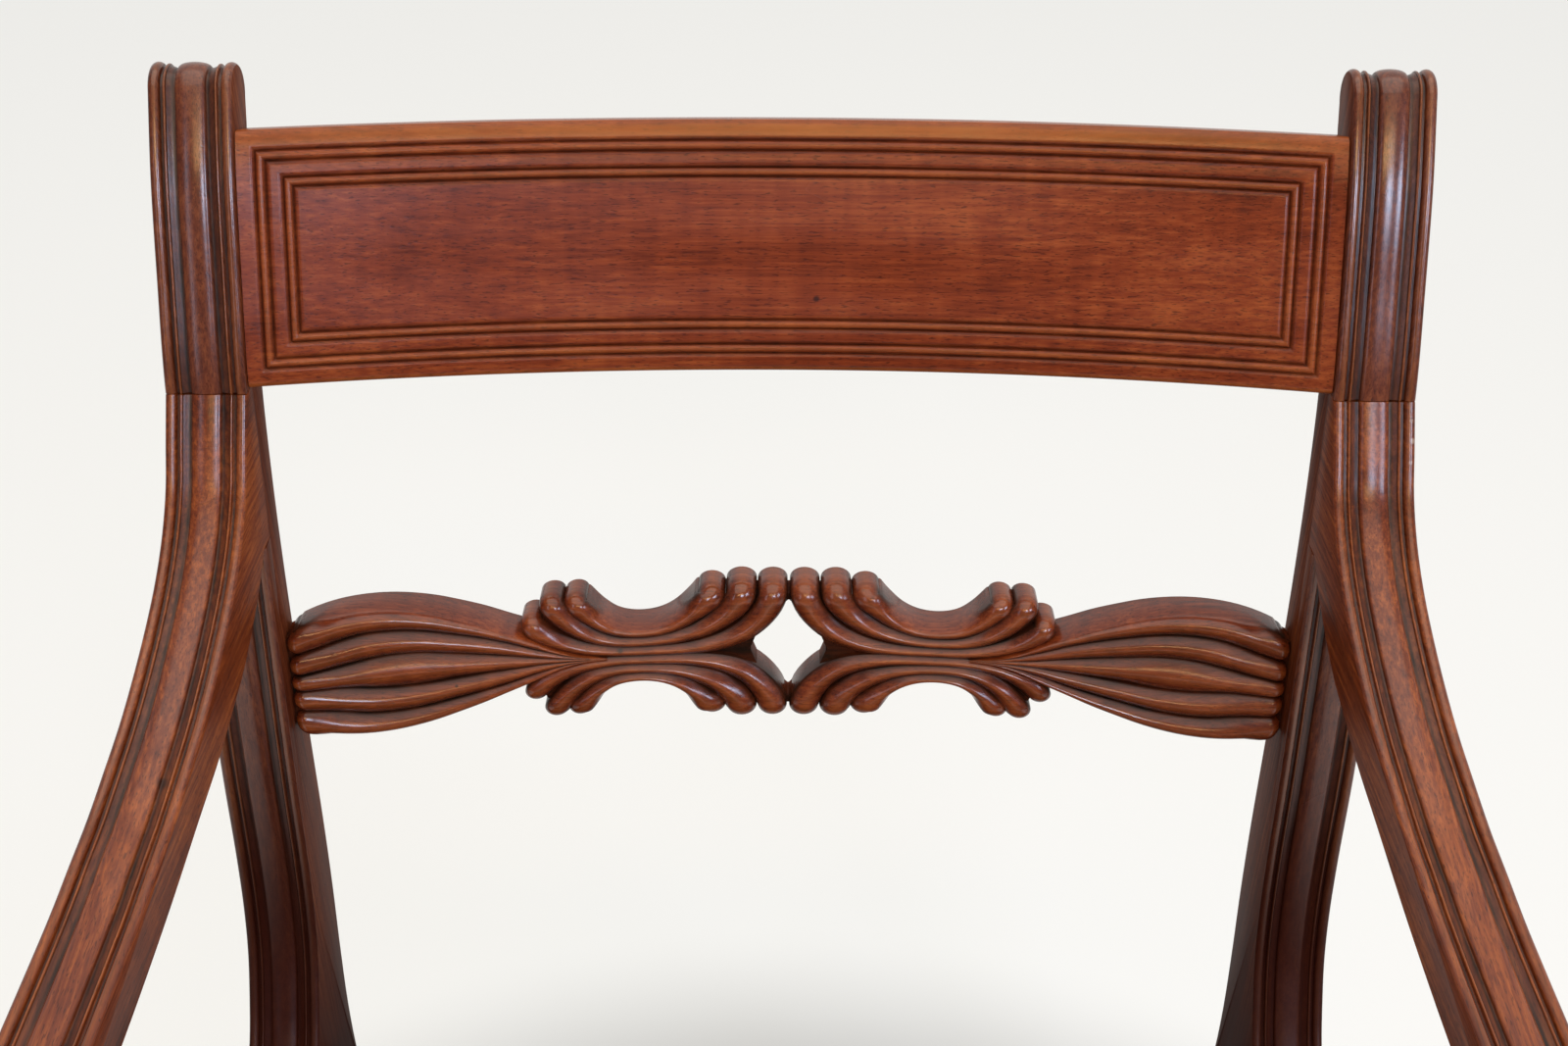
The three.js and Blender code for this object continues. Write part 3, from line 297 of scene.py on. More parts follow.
@dataclass(frozen=True)
class FrenchPolishedMahogany:
    """Old Cuban mahogany under shellac: a warm red brown with short dark pores and dark wax in its grooves.

    The polish is thin, so the wood's fine ridges soften its reflections, and wax in the grooves is dull.
    Sizes are the length and width of spots. Going down, the colour turns darker between the two heights
    of dark_foot, and on its sides by side_lag lower. Each mark is a place, a radius and a shade.
    """

    name: str
    grain: Grain
    tone: tuple[str, str, str] = ("541e0b", "773013", "94481f")
    tone_start: float = 1.05
    shine: float = 0.22
    shine_spread: Pair = (-0.04, 0.08)
    gloss: float = 0.36
    matt_gloss: float = 0.03
    shift: float = 0.0
    broad_mm: Pair = (120.0, 30.0)
    fibre_mm: Pair = (26.0, 0.9)
    streak_mm: Pair = (300.0, 1.7)
    streak_share: float = 1.1
    ripple_mm: Pair = (6.0, 45.0)
    ripple_share: float = 0.5
    pore_mm: Pair = (3.6, 0.5)
    pore_span: Pair = (0.41, 0.31)
    pore_share: float = 0.6
    pore_depth: float = -1.2
    pore_shade: str = "2c0f06"
    patch_mm: Pair = (30.0, 9.0)
    wax_shade: str = "17120c"
    wax_rough: float = 0.16
    wax_matt: float = 0.45
    # The shade of rubbed wear, also used for the painted golden sheen on the crest's top band.
    wear_and_sheen_shade: str = "a8662f"
    dull_rough: float = 0.22
    dark_foot: tuple[float, ...] = ()
    foot_shade: str = "2a0e08"
    foot_share: float = 0.85
    side_lag: float = 75.0
    marks: tuple[tuple[float, float, float, float, str], ...] = ()
    mark_core: float = 0.3
    mark_share: float = 0.8
    relief: Pair = (0.08, 0.0002)

    def material(self) -> bpy.types.Material:
        """Builds the material from the meshes' marks: wax, wear with the crest's painted sheen, and dull.
        """
        material, tree = new_material(self.name)
        place = add_node(tree, "ShaderNodeTexCoord").outputs["Object"]
        laid = add_node(
            tree,
            "ShaderNodeMapping",
            {
                "Vector": place,
                "Rotation": [math.radians(angle) for angle in self.grain.value],
                "Location": (self.shift, self.shift * 0.37, self.shift * 0.61),
            },
        ).outputs[0]
        broad = drawn_out(tree, laid, self.broad_mm, 2)
        fibre = drawn_out(tree, laid, self.fibre_mm, 4, 0.6)
        streak = drawn_out(tree, laid, self.streak_mm, 2)
        ripple = drawn_out(tree, laid, self.ripple_mm, 1)
        mixed = broad
        for layer, weight in ((fibre, 1.0), (streak, self.streak_share), (ripple, self.ripple_share)):
            mixed = maths(tree, "MULTIPLY_ADD", layer, weight, mixed)
        start = self.tone_start + 0.5 * self.ripple_share
        wood = ramp(tree, mapped(tree, mixed, (start, start + 1.0)), list(zip((0.0, 0.5, 1.0), self.tone)))
        pores = drawn_out(tree, laid, self.pore_mm, 1)
        pores = mapped(tree, pores, self.pore_span, (0.0, self.pore_share))
        patchy = mapped(tree, drawn_out(tree, laid, self.patch_mm, 3, 0.6), (0.3, 0.7), (0.6, 1.0))
        wax = maths(tree, "MULTIPLY", painted(tree, "wax"), patchy, clamp=True)
        # The wear mark, which on the crest's top band carries a painted sheen.
        worn = maths(tree, "MULTIPLY", painted(tree, "worn"), patchy, clamp=True)
        dull = painted(tree, "dull")
        colour = tinted(tree, pores, wood, self.pore_shade)
        colour = tinted(tree, wax, colour, self.wax_shade)
        colour = tinted(tree, worn, colour, self.wear_and_sheen_shade)
        if self.dark_foot:
            up = add_node(tree, "ShaderNodeSeparateXYZ", {0: place}).outputs[2]
            up = maths(tree, "MULTIPLY_ADD", dull, self.side_lag * MM, up)
            span = (self.dark_foot[0] * MM, self.dark_foot[1] * MM)
            foot = mapped(tree, up, span, (0.0, self.foot_share), soft=True)
            colour = tinted(tree, foot, colour, self.foot_shade)
            dull = maths(tree, "MAXIMUM", dull, foot)
        for x, y, z, radius, shade in self.marks:
            away = distance(tree, place, (x * MM, y * MM, z * MM))
            span = (radius * MM, radius * MM * self.mark_core)
            stain = mapped(tree, away, span, (0.0, self.mark_share), soft=True)
            colour = tinted(tree, stain, colour, shade)
        low, high = self.shine_spread
        rough = mapped(tree, broad, (0.3, 0.7), (self.shine + low, self.shine + high))
        rough = maths(tree, "MULTIPLY_ADD", wax, self.wax_rough, rough)
        rough = maths(tree, "MULTIPLY_ADD", dull, self.dull_rough, rough)
        matt = maths(tree, "MULTIPLY_ADD", wax, self.wax_matt, dull, clamp=True)
        height = maths(tree, "MULTIPLY_ADD", pores, self.pore_depth, fibre)
        return coated(
            material,
            {
                "Base Color": colour,
                "Roughness": rough,
                "Specular IOR Level": mapped(tree, matt, (0.0, 1.0), (self.gloss, self.matt_gloss)),
                "Normal": bumped(tree, height, *self.relief),
            },
        )


@dataclass(frozen=True)
class PlanedBeech:
    """Bare beech, planed and aged: a dull honey brown with short flecks."""

    name: str = "planed_beech"
    fleck_mm: Pair = (4.0, 0.9)
    patches: float = 14.0
    shades: tuple[str, str, str] = ("6b4a2b", "8f6a42", "a8845a")
    rough: float = 0.68
    relief: Pair = (0.25, 0.0003)

    def material(self) -> bpy.types.Material:
        """Builds the material."""
        material, tree = new_material(self.name)
        place = add_node(tree, "ShaderNodeTexCoord").outputs["Object"]
        fleck = drawn_out(tree, place, self.fleck_mm, 3)
        both = maths(tree, "ADD", fleck, noise(tree, place, self.patches, 3))
        colour = ramp(tree, mapped(tree, both, (0.7, 1.3)), list(zip((0.0, 0.5, 1.0), self.shades)))
        normal = bumped(tree, fleck, *self.relief)
        return coated(material, {"Base Color": colour, "Roughness": self.rough, "Normal": normal})


@dataclass(frozen=True)
class BlackHide:
    """Black upholstery hide, glazed and worn: a fine pebble with creases, browner where it has rubbed."""

    name: str = "black_hide"
    pebble_mm: float = 1.5
    creases: float = 60.0
    crease_height: float = 1.4
    patches: float = 9.0
    shades: tuple[str, str] = ("221d1a", "100d0c")
    rubbed_shade: str = "35261f"
    rough: Pair = (0.34, 0.52)
    gloss: float = 0.45
    relief: Pair = (0.35, 0.0005)

    def material(self) -> bpy.types.Material:
        """Builds the material."""
        material, tree = new_material(self.name)
        place = add_node(tree, "ShaderNodeTexCoord").outputs["Object"]
        pebble = add_node(
            tree,
            "ShaderNodeTexVoronoi",
            {"Vector": place, "Scale": 1 / (self.pebble_mm * MM), "Smoothness": 0.6},
            feature="SMOOTH_F1",
        ).outputs["Distance"]
        crease = noise(tree, place, self.creases, 6, 0.65)
        rubbed = mapped(tree, noise(tree, place, self.patches, 4), (0.45, 0.75), (0.0, 0.6))
        base = ramp(tree, pebble, [(0.0, self.shades[0]), (0.7, self.shades[1])])
        height = maths(tree, "MULTIPLY_ADD", crease, self.crease_height, pebble)
        return coated(
            material,
            {
                "Base Color": tinted(tree, rubbed, base, self.rubbed_shade),
                "Roughness": mapped(tree, crease, (0.3, 0.7), self.rough),
                "Specular IOR Level": self.gloss,
                "Normal": bumped(tree, height, *self.relief),
            },
        )


@dataclass(frozen=True)
class WovenJute:
    """Jute cloth: crossed yarns that read as a small plain weave, with a darker stripe where asked."""

    name: str
    yarn_mm: float
    shades: tuple[str, str]
    stripe: str = ""
    fuzz: float = 420.0
    rough: float = 0.9
    relief: Pair = (0.6, 0.0006)

    def material(self) -> bpy.types.Material:
        """Builds the material. It reads the piece's UV map, laid in metres, and its mark stripe."""
        material, tree = new_material(self.name)
        place = add_node(tree, "ShaderNodeUVMap", uv_map="UVMap").outputs[0]
        split = add_node(tree, "ShaderNodeSeparateXYZ", {0: place})
        turns = math.pi / (self.yarn_mm * MM)
        waves = [
            maths(tree, "SINE", maths(tree, "MULTIPLY", split.outputs[axis], turns)) for axis in (0, 1)
        ]
        fuzz = noise(tree, place, self.fuzz, 3)
        height = maths(tree, "ADD", maths(tree, "MULTIPLY", *waves), fuzz)
        colour = ramp(tree, mapped(tree, height, (-0.6, 1.5)), list(zip((0.0, 1.0), self.shades)))
        if self.stripe:
            colour = tinted(tree, painted(tree, "stripe"), colour, self.stripe)
        normal = bumped(tree, height, *self.relief)
        return coated(material, {"Base Color": colour, "Roughness": self.rough, "Normal": normal})


@dataclass(frozen=True)
class DullSteel:
    """Old steel screws, turned and dulled: grey with brown specks."""

    name: str = "dull_steel"
    specks: float = 700.0
    shades: tuple[str, str] = ("4a3a2e", "8b8780")
    rough: Pair = (0.6, 0.35)

    def material(self) -> bpy.types.Material:
        """Builds the material."""
        material, tree = new_material(self.name)
        place = add_node(tree, "ShaderNodeTexCoord").outputs["Object"]
        speck = noise(tree, place, self.specks, 4)
        colour = ramp(tree, speck, list(zip((0.35, 0.6), self.shades)))
        rough = mapped(tree, speck, (0.3, 0.7), self.rough)
        return coated(material, {"Base Color": colour, "Roughness": rough, "Metallic": 1.0})


def clamped(value: float) -> float:
    """A value cut to the stretch from 0 to 1."""
    return min(1.0, max(0.0, value))


def fallen(share: float) -> float:
    """How far a half round has fallen at a share of its half width: 0 on its top and 1 at its edge."""
    return 1 - math.sqrt(max(0.0, 1 - share**2))


def near(places: np.ndarray, middle: float, reach: float) -> np.ndarray:
    """A share for each place, 1 at the middle, that fades over the reach."""
    return np.exp(-(((places - middle) / reach) ** 2))


def lengths(line: np.ndarray) -> np.ndarray:
    """How far along a line each of its points lies."""
    return np.concatenate([[0], np.cumsum(np.linalg.norm(np.diff(line, axis=0), axis=1))])


def smooth(points: Sequence[Sequence[float]], steps: int) -> np.ndarray:
    """Draws a smooth line through points and cuts it into equal steps.

    Args:
        points: The points that the line passes through.
        steps: How many steps it gets.

    Returns:
        The line's points, one a row.
    """
    given = np.array(points, float)
    run = np.vstack([2 * given[0] - given[1], given, 2 * given[-1] - given[-2]])
    dense = [given[0]]
    for a, b, c, d in zip(run, run[1:], run[2:], run[3:]):
        gaps = [max(np.linalg.norm(q - p) ** 0.5, 1e-6) for p, q in ((a, b), (b, c), (c, d))]
        start = (b - a) / gaps[0] - (c - a) / (gaps[0] + gaps[1]) + (c - b) / gaps[1]
        stop = (c - b) / gaps[1] - (d - b) / (gaps[1] + gaps[2]) + (d - c) / gaps[2]
        start, stop = start * gaps[1], stop * gaps[1]
        square, cube = 3 * (c - b) - 2 * start - stop, 2 * (b - c) + start + stop
        dense += [b + t * start + t * t * square + t**3 * cube for t in np.linspace(0, 1, 25)[1:]]
    line = np.array(dense)
    along = lengths(line)
    wanted = np.linspace(0, along[-1], steps + 1)
    return np.column_stack([np.interp(wanted, along, column) for column in line.T])


def arc(centre: Pair, radius: float, start: float, stop: float, steps: int) -> np.ndarray:
    """Draws a circular arc.

    Args:
        centre: Its centre.
        radius: Its radius.
        start: The angle in degrees where it starts.
        stop: The angle in degrees where it stops.
        steps: How many steps it gets.

    Returns:
        Its points.
    """
    angle = np.radians(np.linspace(start, stop, steps + 1))
    return np.column_stack([centre[0] + radius * np.cos(angle), centre[1] + radius * np.sin(angle)])


def deselect() -> None:
    """Leaves edit mode and clears the selection."""
    if bpy.context.object and bpy.context.object.mode != "OBJECT":
        bpy.ops.object.mode_set(mode="OBJECT")
    bpy.ops.object.select_all(action="DESELECT")


def only(piece: bpy.types.Object) -> None:
    """Selects one piece alone and makes it active."""
    deselect()
    piece.select_set(True)
    bpy.context.view_layer.objects.active = piece


def skin(
    name: str,
    rings: np.ndarray,
    marks: dict[str, np.ndarray] | None = None,
    looped: bool = True,
    smooth_degrees: float = SMOOTH_DEGREES,
    uv: np.ndarray | None = None,
) -> bpy.types.Object:
    """Lays a grid over rings of points, closes it and smooths its shading.

    Args:
        name: The piece's name.
        rings: Rings x points x 3, in millimetres in the row frame.
        marks: Values for each point, by attribute name, rings x points.
        looped: Whether each ring closes on itself.
        smooth_degrees: The sharpest angle that still shades smoothly.
        uv: A place on the cloth for each point, in metres, rings x points x 2.

    Returns:
        The piece.
    """
    shown = np.concatenate([rings, rings[:, :1]], axis=1) if looped else rings
    rows, columns = shown.shape[:2]
    deselect()
    bpy.ops.mesh.primitive_grid_add(x_subdivisions=columns - 1, y_subdivisions=rows - 1)
    piece = bpy.context.object
    piece.name = name
    mesh = piece.data
    mesh.name = name
    mesh.vertices.foreach_set("co", (shown.reshape(-1, 3) * MM).astype(np.float32).ravel())
    for mark, values in (marks or {}).items():
        full = np.broadcast_to(values, rings.shape[:2])
        if looped:
            full = np.concatenate([full, full[:, :1]], axis=1)
        store = mesh.attributes.new(mark, "FLOAT", "POINT")
        store.data.foreach_set("value", full.astype(np.float32).ravel())
    if uv is not None:
        corners = np.zeros(len(mesh.loops), np.int32)
        mesh.loops.foreach_get("vertex_index", corners)
        layer = mesh.uv_layers.active or mesh.uv_layers.new(name="UVMap")
        layer.uv.foreach_set("vector", uv.reshape(-1, 2)[corners].astype(np.float32).ravel())
    elif mesh.uv_layers.active:
        mesh.uv_layers.remove(mesh.uv_layers.active)
    bpy.ops.object.mode_set(mode="EDIT")
    bpy.ops.mesh.select_all(action="SELECT")
    bpy.ops.mesh.remove_doubles(threshold=2e-6)
    close_ends()
    bpy.ops.mesh.select_all(action="SELECT")
    bpy.ops.mesh.normals_make_consistent(inside=False)
    bpy.ops.object.mode_set(mode="OBJECT")
    only(piece)
    bpy.ops.object.shade_smooth_by_angle(angle=math.radians(smooth_degrees))
    return piece


def close_ends() -> None:
    """Fills each open ring of the mesh in edit mode with one face."""
    edit = bmesh.from_edit_mesh(bpy.context.object.data)
    waiting = {edge for edge in edit.edges if edge.is_boundary}
    while waiting:
        loop = {waiting.pop()}
        corners = {v for edge in loop for v in edge.verts}
        growing = True
        while growing:
            found = {edge for v in corners for edge in v.link_edges if edge in waiting}
            growing = bool(found)
            waiting -= found
            loop |= found
            corners |= {v for edge in found for v in edge.verts}
        for part in (*edit.faces, *edit.edges, *edit.verts):
            part.select = False
        for edge in loop:
            edge.select_set(True)
        edit.select_flush_mode()
        bmesh.update_edit_mesh(bpy.context.object.data)
        bpy.ops.mesh.edge_face_add()
        edit = bmesh.from_edit_mesh(bpy.context.object.data)
        waiting = {edge for edge in edit.edges if edge.is_boundary and edge not in loop}


def eased(piece: bpy.types.Object, width: float, segments: int = 2) -> None:
    """Rounds a piece's sharp edges, as years of hands and dusters do.

    Args:
        piece: The piece.
        width: The width of the rounding in millimetres.
        segments: How many faces it gets.
    """
    only(piece)
    bevel = piece.modifiers.new("eased", "BEVEL")
    bevel.width = width * MM
    bevel.segments = segments
    bevel.limit_method = "ANGLE"
    bevel.angle_limit = math.radians(SHARP_DEGREES)
    bevel.use_clamp_overlap = True
    bpy.ops.object.modifier_apply(modifier=bevel.name)
    bpy.ops.object.shade_smooth_by_angle(angle=math.radians(SMOOTH_DEGREES))


def finish_with(piece: bpy.types.Object, material: bpy.types.Material) -> None:
    """Gives a piece one material in place of any others."""
    piece.data.materials.clear()
    piece.data.materials.append(material)


def dressed(
    piece: bpy.types.Object, material: bpy.types.Material, body: str, slot: str, *nodes: str
) -> None:
    """Gives a piece its material and its body, and hides the CAD nodes it stands for.

    Args:
        piece: The piece.
        material: Its material.
        body: The body it rides on.
        slot: The record's material slot. Not used.
        nodes: The CAD nodes it replaces.
    """
    finish_with(piece, material)
    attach(piece, body)
    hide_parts(*nodes)
    LOG.info("%s: %d faces", piece.name, len(piece.data.polygons))


@dataclass(frozen=True)
class Layout:
    """The chair's main lines, which its sub-assemblies share."""

    height: float = 857.0
    stile_span: float = 460.0
    stile_width: float = 30.0
    seat_rail_top: float = 438.0
    seat_rail_depth: float = 63.0
    foot_reach: float = 112.0
    heel_reach: float = 76.0
    front_rail_face: float = 464.0
    front_leg_block: float = 34.0
    seat_splay_degrees: float = 3.7
    arm_splay_degrees: float = 2.7
    foot_taper: float = 5.0
    crest_drop: float = 20.0
    seam_drop: float = 87.0
    notch_drop: float = 151.0
    housing: float = 8.0
    front_shares: tuple[Pair, ...] = (
        (1, 0), (0.88, 0.0199), (0.768, 0.0468), (0.68, 0.0826), (0.6, 0.1244), (0.549, 0.1742),
        (0.518, 0.2359), (0.491, 0.3384), (0.448, 0.4459), (0.406, 0.5414), (0.366, 0.625),
        (0.306, 0.7444), (0.178, 0.842), (0.067, 0.9166), (0, 0.9524), (-0.073, 0.9885),
    )
    line: np.ndarray = field(init=False)
    middle: float = field(init=False)

    def __post_init__(self) -> None:
        """Draws the stiles' front line and finds where forward 0 lies in the row frame."""
        object.__setattr__(self, "line", smooth([self.on_back(s) for s in self.front_shares], 300))
        object.__setattr__(self, "middle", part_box("stile_left")[1].y / MM - self.heel_reach)

    def on_back(self, share: Pair) -> Pair:
        """A side point from its shares of the foot's reach and of the back's rise."""
        rise = self.height - self.seat_rail_top
        return share[0] * self.foot_reach, self.seat_rail_top + share[1] * rise

    @property
    def stile_centre(self) -> float:
        """How far the middle of a stile lies from the chair's middle."""
        return (self.stile_span - self.stile_width) / 2

    @property
    def rail_half(self) -> float:
        """Half the length of a rail between the stiles."""
        return self.stile_centre - self.stile_width / 2 - FIT

    @property
    def rail_bottom(self) -> float:
        """Height of the seat rails' undersides."""
        return self.seat_rail_top - self.seat_rail_depth

    @property
    def crest_top(self) -> float:
        """Height of the crest rail's top."""
        return self.height - self.crest_drop

    @property
    def seam_up(self) -> float:
        """Height of the seam above each arm."""
        return self.crest_top - self.seam_drop

    @property
    def notch_up(self) -> float:
        """Height of the notch under each arm."""
        return self.crest_top - self.notch_drop

    def front_at(self, up: float) -> float:
        """How far forward the stiles' front lies at a height."""
        return float(np.interp(up, self.line[:, 1], self.line[:, 0]))

    def front_run(self, start: float, stop: float, steps: int) -> np.ndarray:
        """The stiles' front line between two heights."""
        ups = np.linspace(start, stop, steps + 1)
        return np.column_stack([np.interp(ups, self.line[:, 1], self.line[:, 0]), ups])

    def splayed(self, ahead: float, degrees: float) -> float:
        """How far from the chair's middle a splayed piece lies, some way ahead of its start."""
        return self.stile_centre + max(0.0, ahead) * math.tan(math.radians(degrees))

    def rail_centre(self, forward: float) -> float:
        """How far the middle of a side frame lies from the chair's middle."""
        return self.splayed(forward - self.foot_reach, self.seat_splay_degrees)

    def arm_centre(self, forward: float) -> float:
        """How far the middle of an arm lies from the chair's middle."""
        return self.splayed(forward - self.front_at(self.seam_up), self.arm_splay_degrees)

    def bow_at(self, x: float, bow: float) -> float:
        """How far a bowed rail lies behind its ends at a distance from the middle."""
        half = self.rail_half + FIT
        radius = (half * half + bow**2) / (2 * bow)
        return math.sqrt(radius * radius - x * x) - (radius - bow)

    def tapered(self, up: float) -> float:
        """A leg's width at a height."""
        return self.stile_width - self.foot_taper * max(0.0, 1 - up / self.rail_bottom)

    def place(self, across: float, forward: float, up: float) -> Point:
        """A point of the row frame, in millimetres."""
        return across, self.middle - forward, up


@dataclass(frozen=True)
class Run:
    """A stretch of a side outline.

    A moulded stretch sinks by the moulding's depth, and level says whether it does so straight at its start
    and at its end.
    """

    points: np.ndarray
    moulded: bool = False
    level: tuple[bool, bool] = (False, False)


@dataclass(frozen=True)
class Moulding:
    """The reeded moulding of stiles, arms and legs: middle round, cove, thin bead, groove and edge bead.

    Places are shares of the half width and depths are shares of the moulding's depth.
    """

    depth: float = 2.0
    round_edge: float = 0.365
    cove_low: float = 0.4
    cove_edge: float = 0.572
    bead_middle: float = 0.615
    bead_half: float = 0.04
    groove: float = 0.7
    edge_middle: float = 0.872
    edge_half: float = 0.14
    groove_places: tuple[float, ...] = (0.662, 0.675, 0.688, 0.7, 0.712, 0.724)
    edge_worn: float = 0.84
    cove_depth: float = 1.1
    cove_rise: float = 0.5
    bead_depth: float = 0.28
    bead_fall: float = 0.55
    groove_depth: float = 1.05
    edge_fall: float = 0.95

    def section(self) -> tuple[np.ndarray, np.ndarray, np.ndarray, np.ndarray]:
        """Draws the section across the whole width.

        Returns:
            Places from -1 to 1, depths, wax and wear at each.
        """
        quarter = math.pi / 2
        half = np.concatenate(
            [
                self.round_edge * np.sin(np.linspace(0, quarter, 14)),
                np.linspace(self.round_edge + 0.008, self.cove_edge, 12),
                self.bead_middle + self.bead_half * np.sin(np.linspace(-quarter, quarter, 9)),
                self.groove_places,
                self.edge_middle + self.edge_half * np.sin(np.linspace(-quarter, 1.15, 14)),
            ]
        )
        half = np.append(half[half < 0.996], 1.0)
        deep = np.array([self.sunk(t) for t in half])
        in_cove = (half > self.cove_low) & (half < self.cove_edge)
        wax = near(half, self.groove, 0.03) + 0.9 * near(half, self.cove_low, 0.045)
        wax += 0.55 * in_cove + 0.8 * near(half, self.cove_edge, 0.012)
        worn = 0.5 * near(half, self.bead_middle, 0.025) + 0.4 * near(half, self.edge_worn, 0.06)
        rows = ((half, -1), (deep, 1), (np.clip(wax, 0, 1), 1), (worn, 1))
        across, deep, wax, worn = (np.concatenate([sign * row[:0:-1], row]) for row, sign in rows)
        return across, deep, wax, worn

    def sunk(self, t: float) -> float:
        """The depth share at a place from the middle outwards."""
        if t <= self.round_edge:
            return 1.0 - math.sqrt(max(0.0, 1 - (t / self.round_edge) ** 2)) ** 0.8
        if t < self.cove_low:
            return self.cove_depth
        if t <= self.cove_edge:
            share = (t - self.cove_low) / (self.cove_edge - self.cove_low)
            return self.cove_depth - self.cove_rise * share**1.5
        if abs(t - self.bead_middle) <= self.bead_half:
            return self.bead_depth + self.bead_fall * fallen((t - self.bead_middle) / self.bead_half)
        if t < self.edge_middle - self.edge_half:
            return self.groove_depth
        return self.edge_fall * fallen((t - self.edge_middle) / self.edge_half)


@dataclass
class MouldedPiece:
    """A piece that is swept along a side outline, once for each side of the chair."""

    layout: Layout
    look: ClassVar[str]
    node: ClassVar[str]
    moulding: ClassVar[Moulding] = Moulding()
    rounding: ClassVar[float] = 0.7

    def runs(self) -> list[Run]:
        """The side outline's stretches, in order round it."""
        raise NotImplementedError

    def centre(self, forward: float) -> float:
        """How far the piece's middle lies from the chair's middle."""
        return self.layout.rail_centre(forward)

    def width(self, up: float) -> float:
        """The piece's width at a height."""
        return self.layout.stile_width

    @staticmethod
    def inward(runs: Sequence[Run]) -> np.ndarray:
        """The way into the piece at each point of its outline."""
        x, y = np.vstack([run.points for run in runs]).T
        turn = math.copysign(1.0, float(np.sum(x * np.roll(y, -1) - np.roll(x, -1) * y)))
        ways = []
        for run in runs:
            last = len(run.points) - 1
            for i in range(last + 1):
                along = run.points[min(last, i + 1)] - run.points[max(0, i - 1)]
                length = np.linalg.norm(along)
                along = along / length if length > 1e-9 else np.array([0.0, 1.0])
                if (i == 0 and run.level[0]) or (i == last and run.level[1]):
                    along = np.array([0.0, math.copysign(1.0, along[1])])
                ways.append(turn * np.array([-along[1], along[0]]))
        return np.array(ways)

    def build(self, side: Side, material: bpy.types.Material) -> None:
        """Sweeps the moulding's section along the outline, then rounds and dresses the piece.

        Args:
            side: The side of the chair.
            material: The piece's material.
        """
        across, deep, wax, worn = self.moulding.section()
        runs = self.runs()
        outline = np.vstack([run.points for run in runs])
        moulded = np.concatenate([np.full(len(run.points), float(run.moulded)) for run in runs])
        inward = self.inward(runs)
        rings = []
        for t, sunk in zip(across, deep):
            moved = outline + inward * (moulded * sunk * self.moulding.depth)[:, None]
            xs = [side.value * (self.centre(f) + t * self.width(u) / 2) for f, u in outline]
            rings.append([self.layout.place(x, f, u) for x, (f, u) in zip(xs, moved)])
        marks = {
            "wax": wax[:, None] * moulded[None, :],
            "worn": 0.6 * worn[:, None] * moulded[None, :],
            "dull": np.where(np.abs(across) > 0.999, 1.0, 0.0)[:, None] * np.ones(len(outline)),
        }
        piece = skin(f"{self.look}_{side.word}", np.array(rings), marks)
        eased(piece, self.rounding)
        dressed(piece, material, FRAME_BODY, "mahogany", f"{self.node}_{side.word}")


@dataclass
class Stiles(MouldedPiece):
    """The two stiles, each in one piece with its sabre back leg."""

    look = "moulded_stile"
    node = "stile"
    scroll_radius: float = 10.4
    scroll_forward: float = -17.0
    scroll_degrees: Pair = (33.0, 213.0)
    knee: float = 0.93
    back_shares: tuple[Pair, ...] = (
        (-0.12, 0.9048), (-0.037, 0.847), (0.045, 0.7871), (0.113, 0.7255), (0.175, 0.6251),
        (0.211, 0.5174), (0.227, 0.41), (0.234, 0.3155), (0.243, 0.2196), (0.264, 0.136), (0.3, 0.0525),
    )
    leg_back: tuple[Pair, ...] = (
        (0.474, 0.97), (0.447, 0.89), (0.329, 0.776), (0.145, 0.651), (-0.04, 0.514), (-0.263, 0.365),
        (-0.526, 0.217), (-0.79, 0.091), (-1, 0),
    )
    leg_front: tuple[Pair, ...] = (
        (-0.605, 0), (-0.447, 0.08), (-0.263, 0.183), (-0.013, 0.32), (0.224, 0.468), (0.434, 0.605),
        (0.605, 0.719), (0.76, 0.8),
    )

    def centre(self, forward: float) -> float:
        """How far the piece's middle lies from the chair's middle."""
        return self.layout.stile_centre

    def width(self, up: float) -> float:
        """The piece's width at a height."""
        return self.layout.tapered(up)

    def runs(self) -> list[Run]:
        """The side outline's stretches, in order round it."""
        lay = self.layout
        leg_back, leg_front = (
            [(f * lay.heel_reach, u * lay.seat_rail_top) for f, u in shares]
            for shares in (self.leg_back, self.leg_front)
        )
        middle = (self.scroll_forward, lay.height - self.scroll_radius)
        scroll = arc(middle, self.scroll_radius, *self.scroll_degrees, 36)
        back = [tuple(scroll[-1]), *[lay.on_back(share) for share in self.back_shares], *leg_back]
        seam = [(lay.front_at(up) - lay.housing, up) for up in (lay.notch_up, lay.seam_up)]
        return [
            Run(lay.front_run(lay.seat_rail_top, lay.notch_up, 64), moulded=True),
            Run(np.array(seam)),
            Run(np.vstack([lay.front_run(lay.seam_up, lay.crest_top, 22), scroll]), moulded=True),
            Run(smooth(back, 90)[1:]),
            Run(smooth([*leg_front, (self.knee * lay.heel_reach, lay.rail_bottom)], 36)),
            Run(np.array([(lay.foot_reach, lay.rail_bottom)])),
        ]


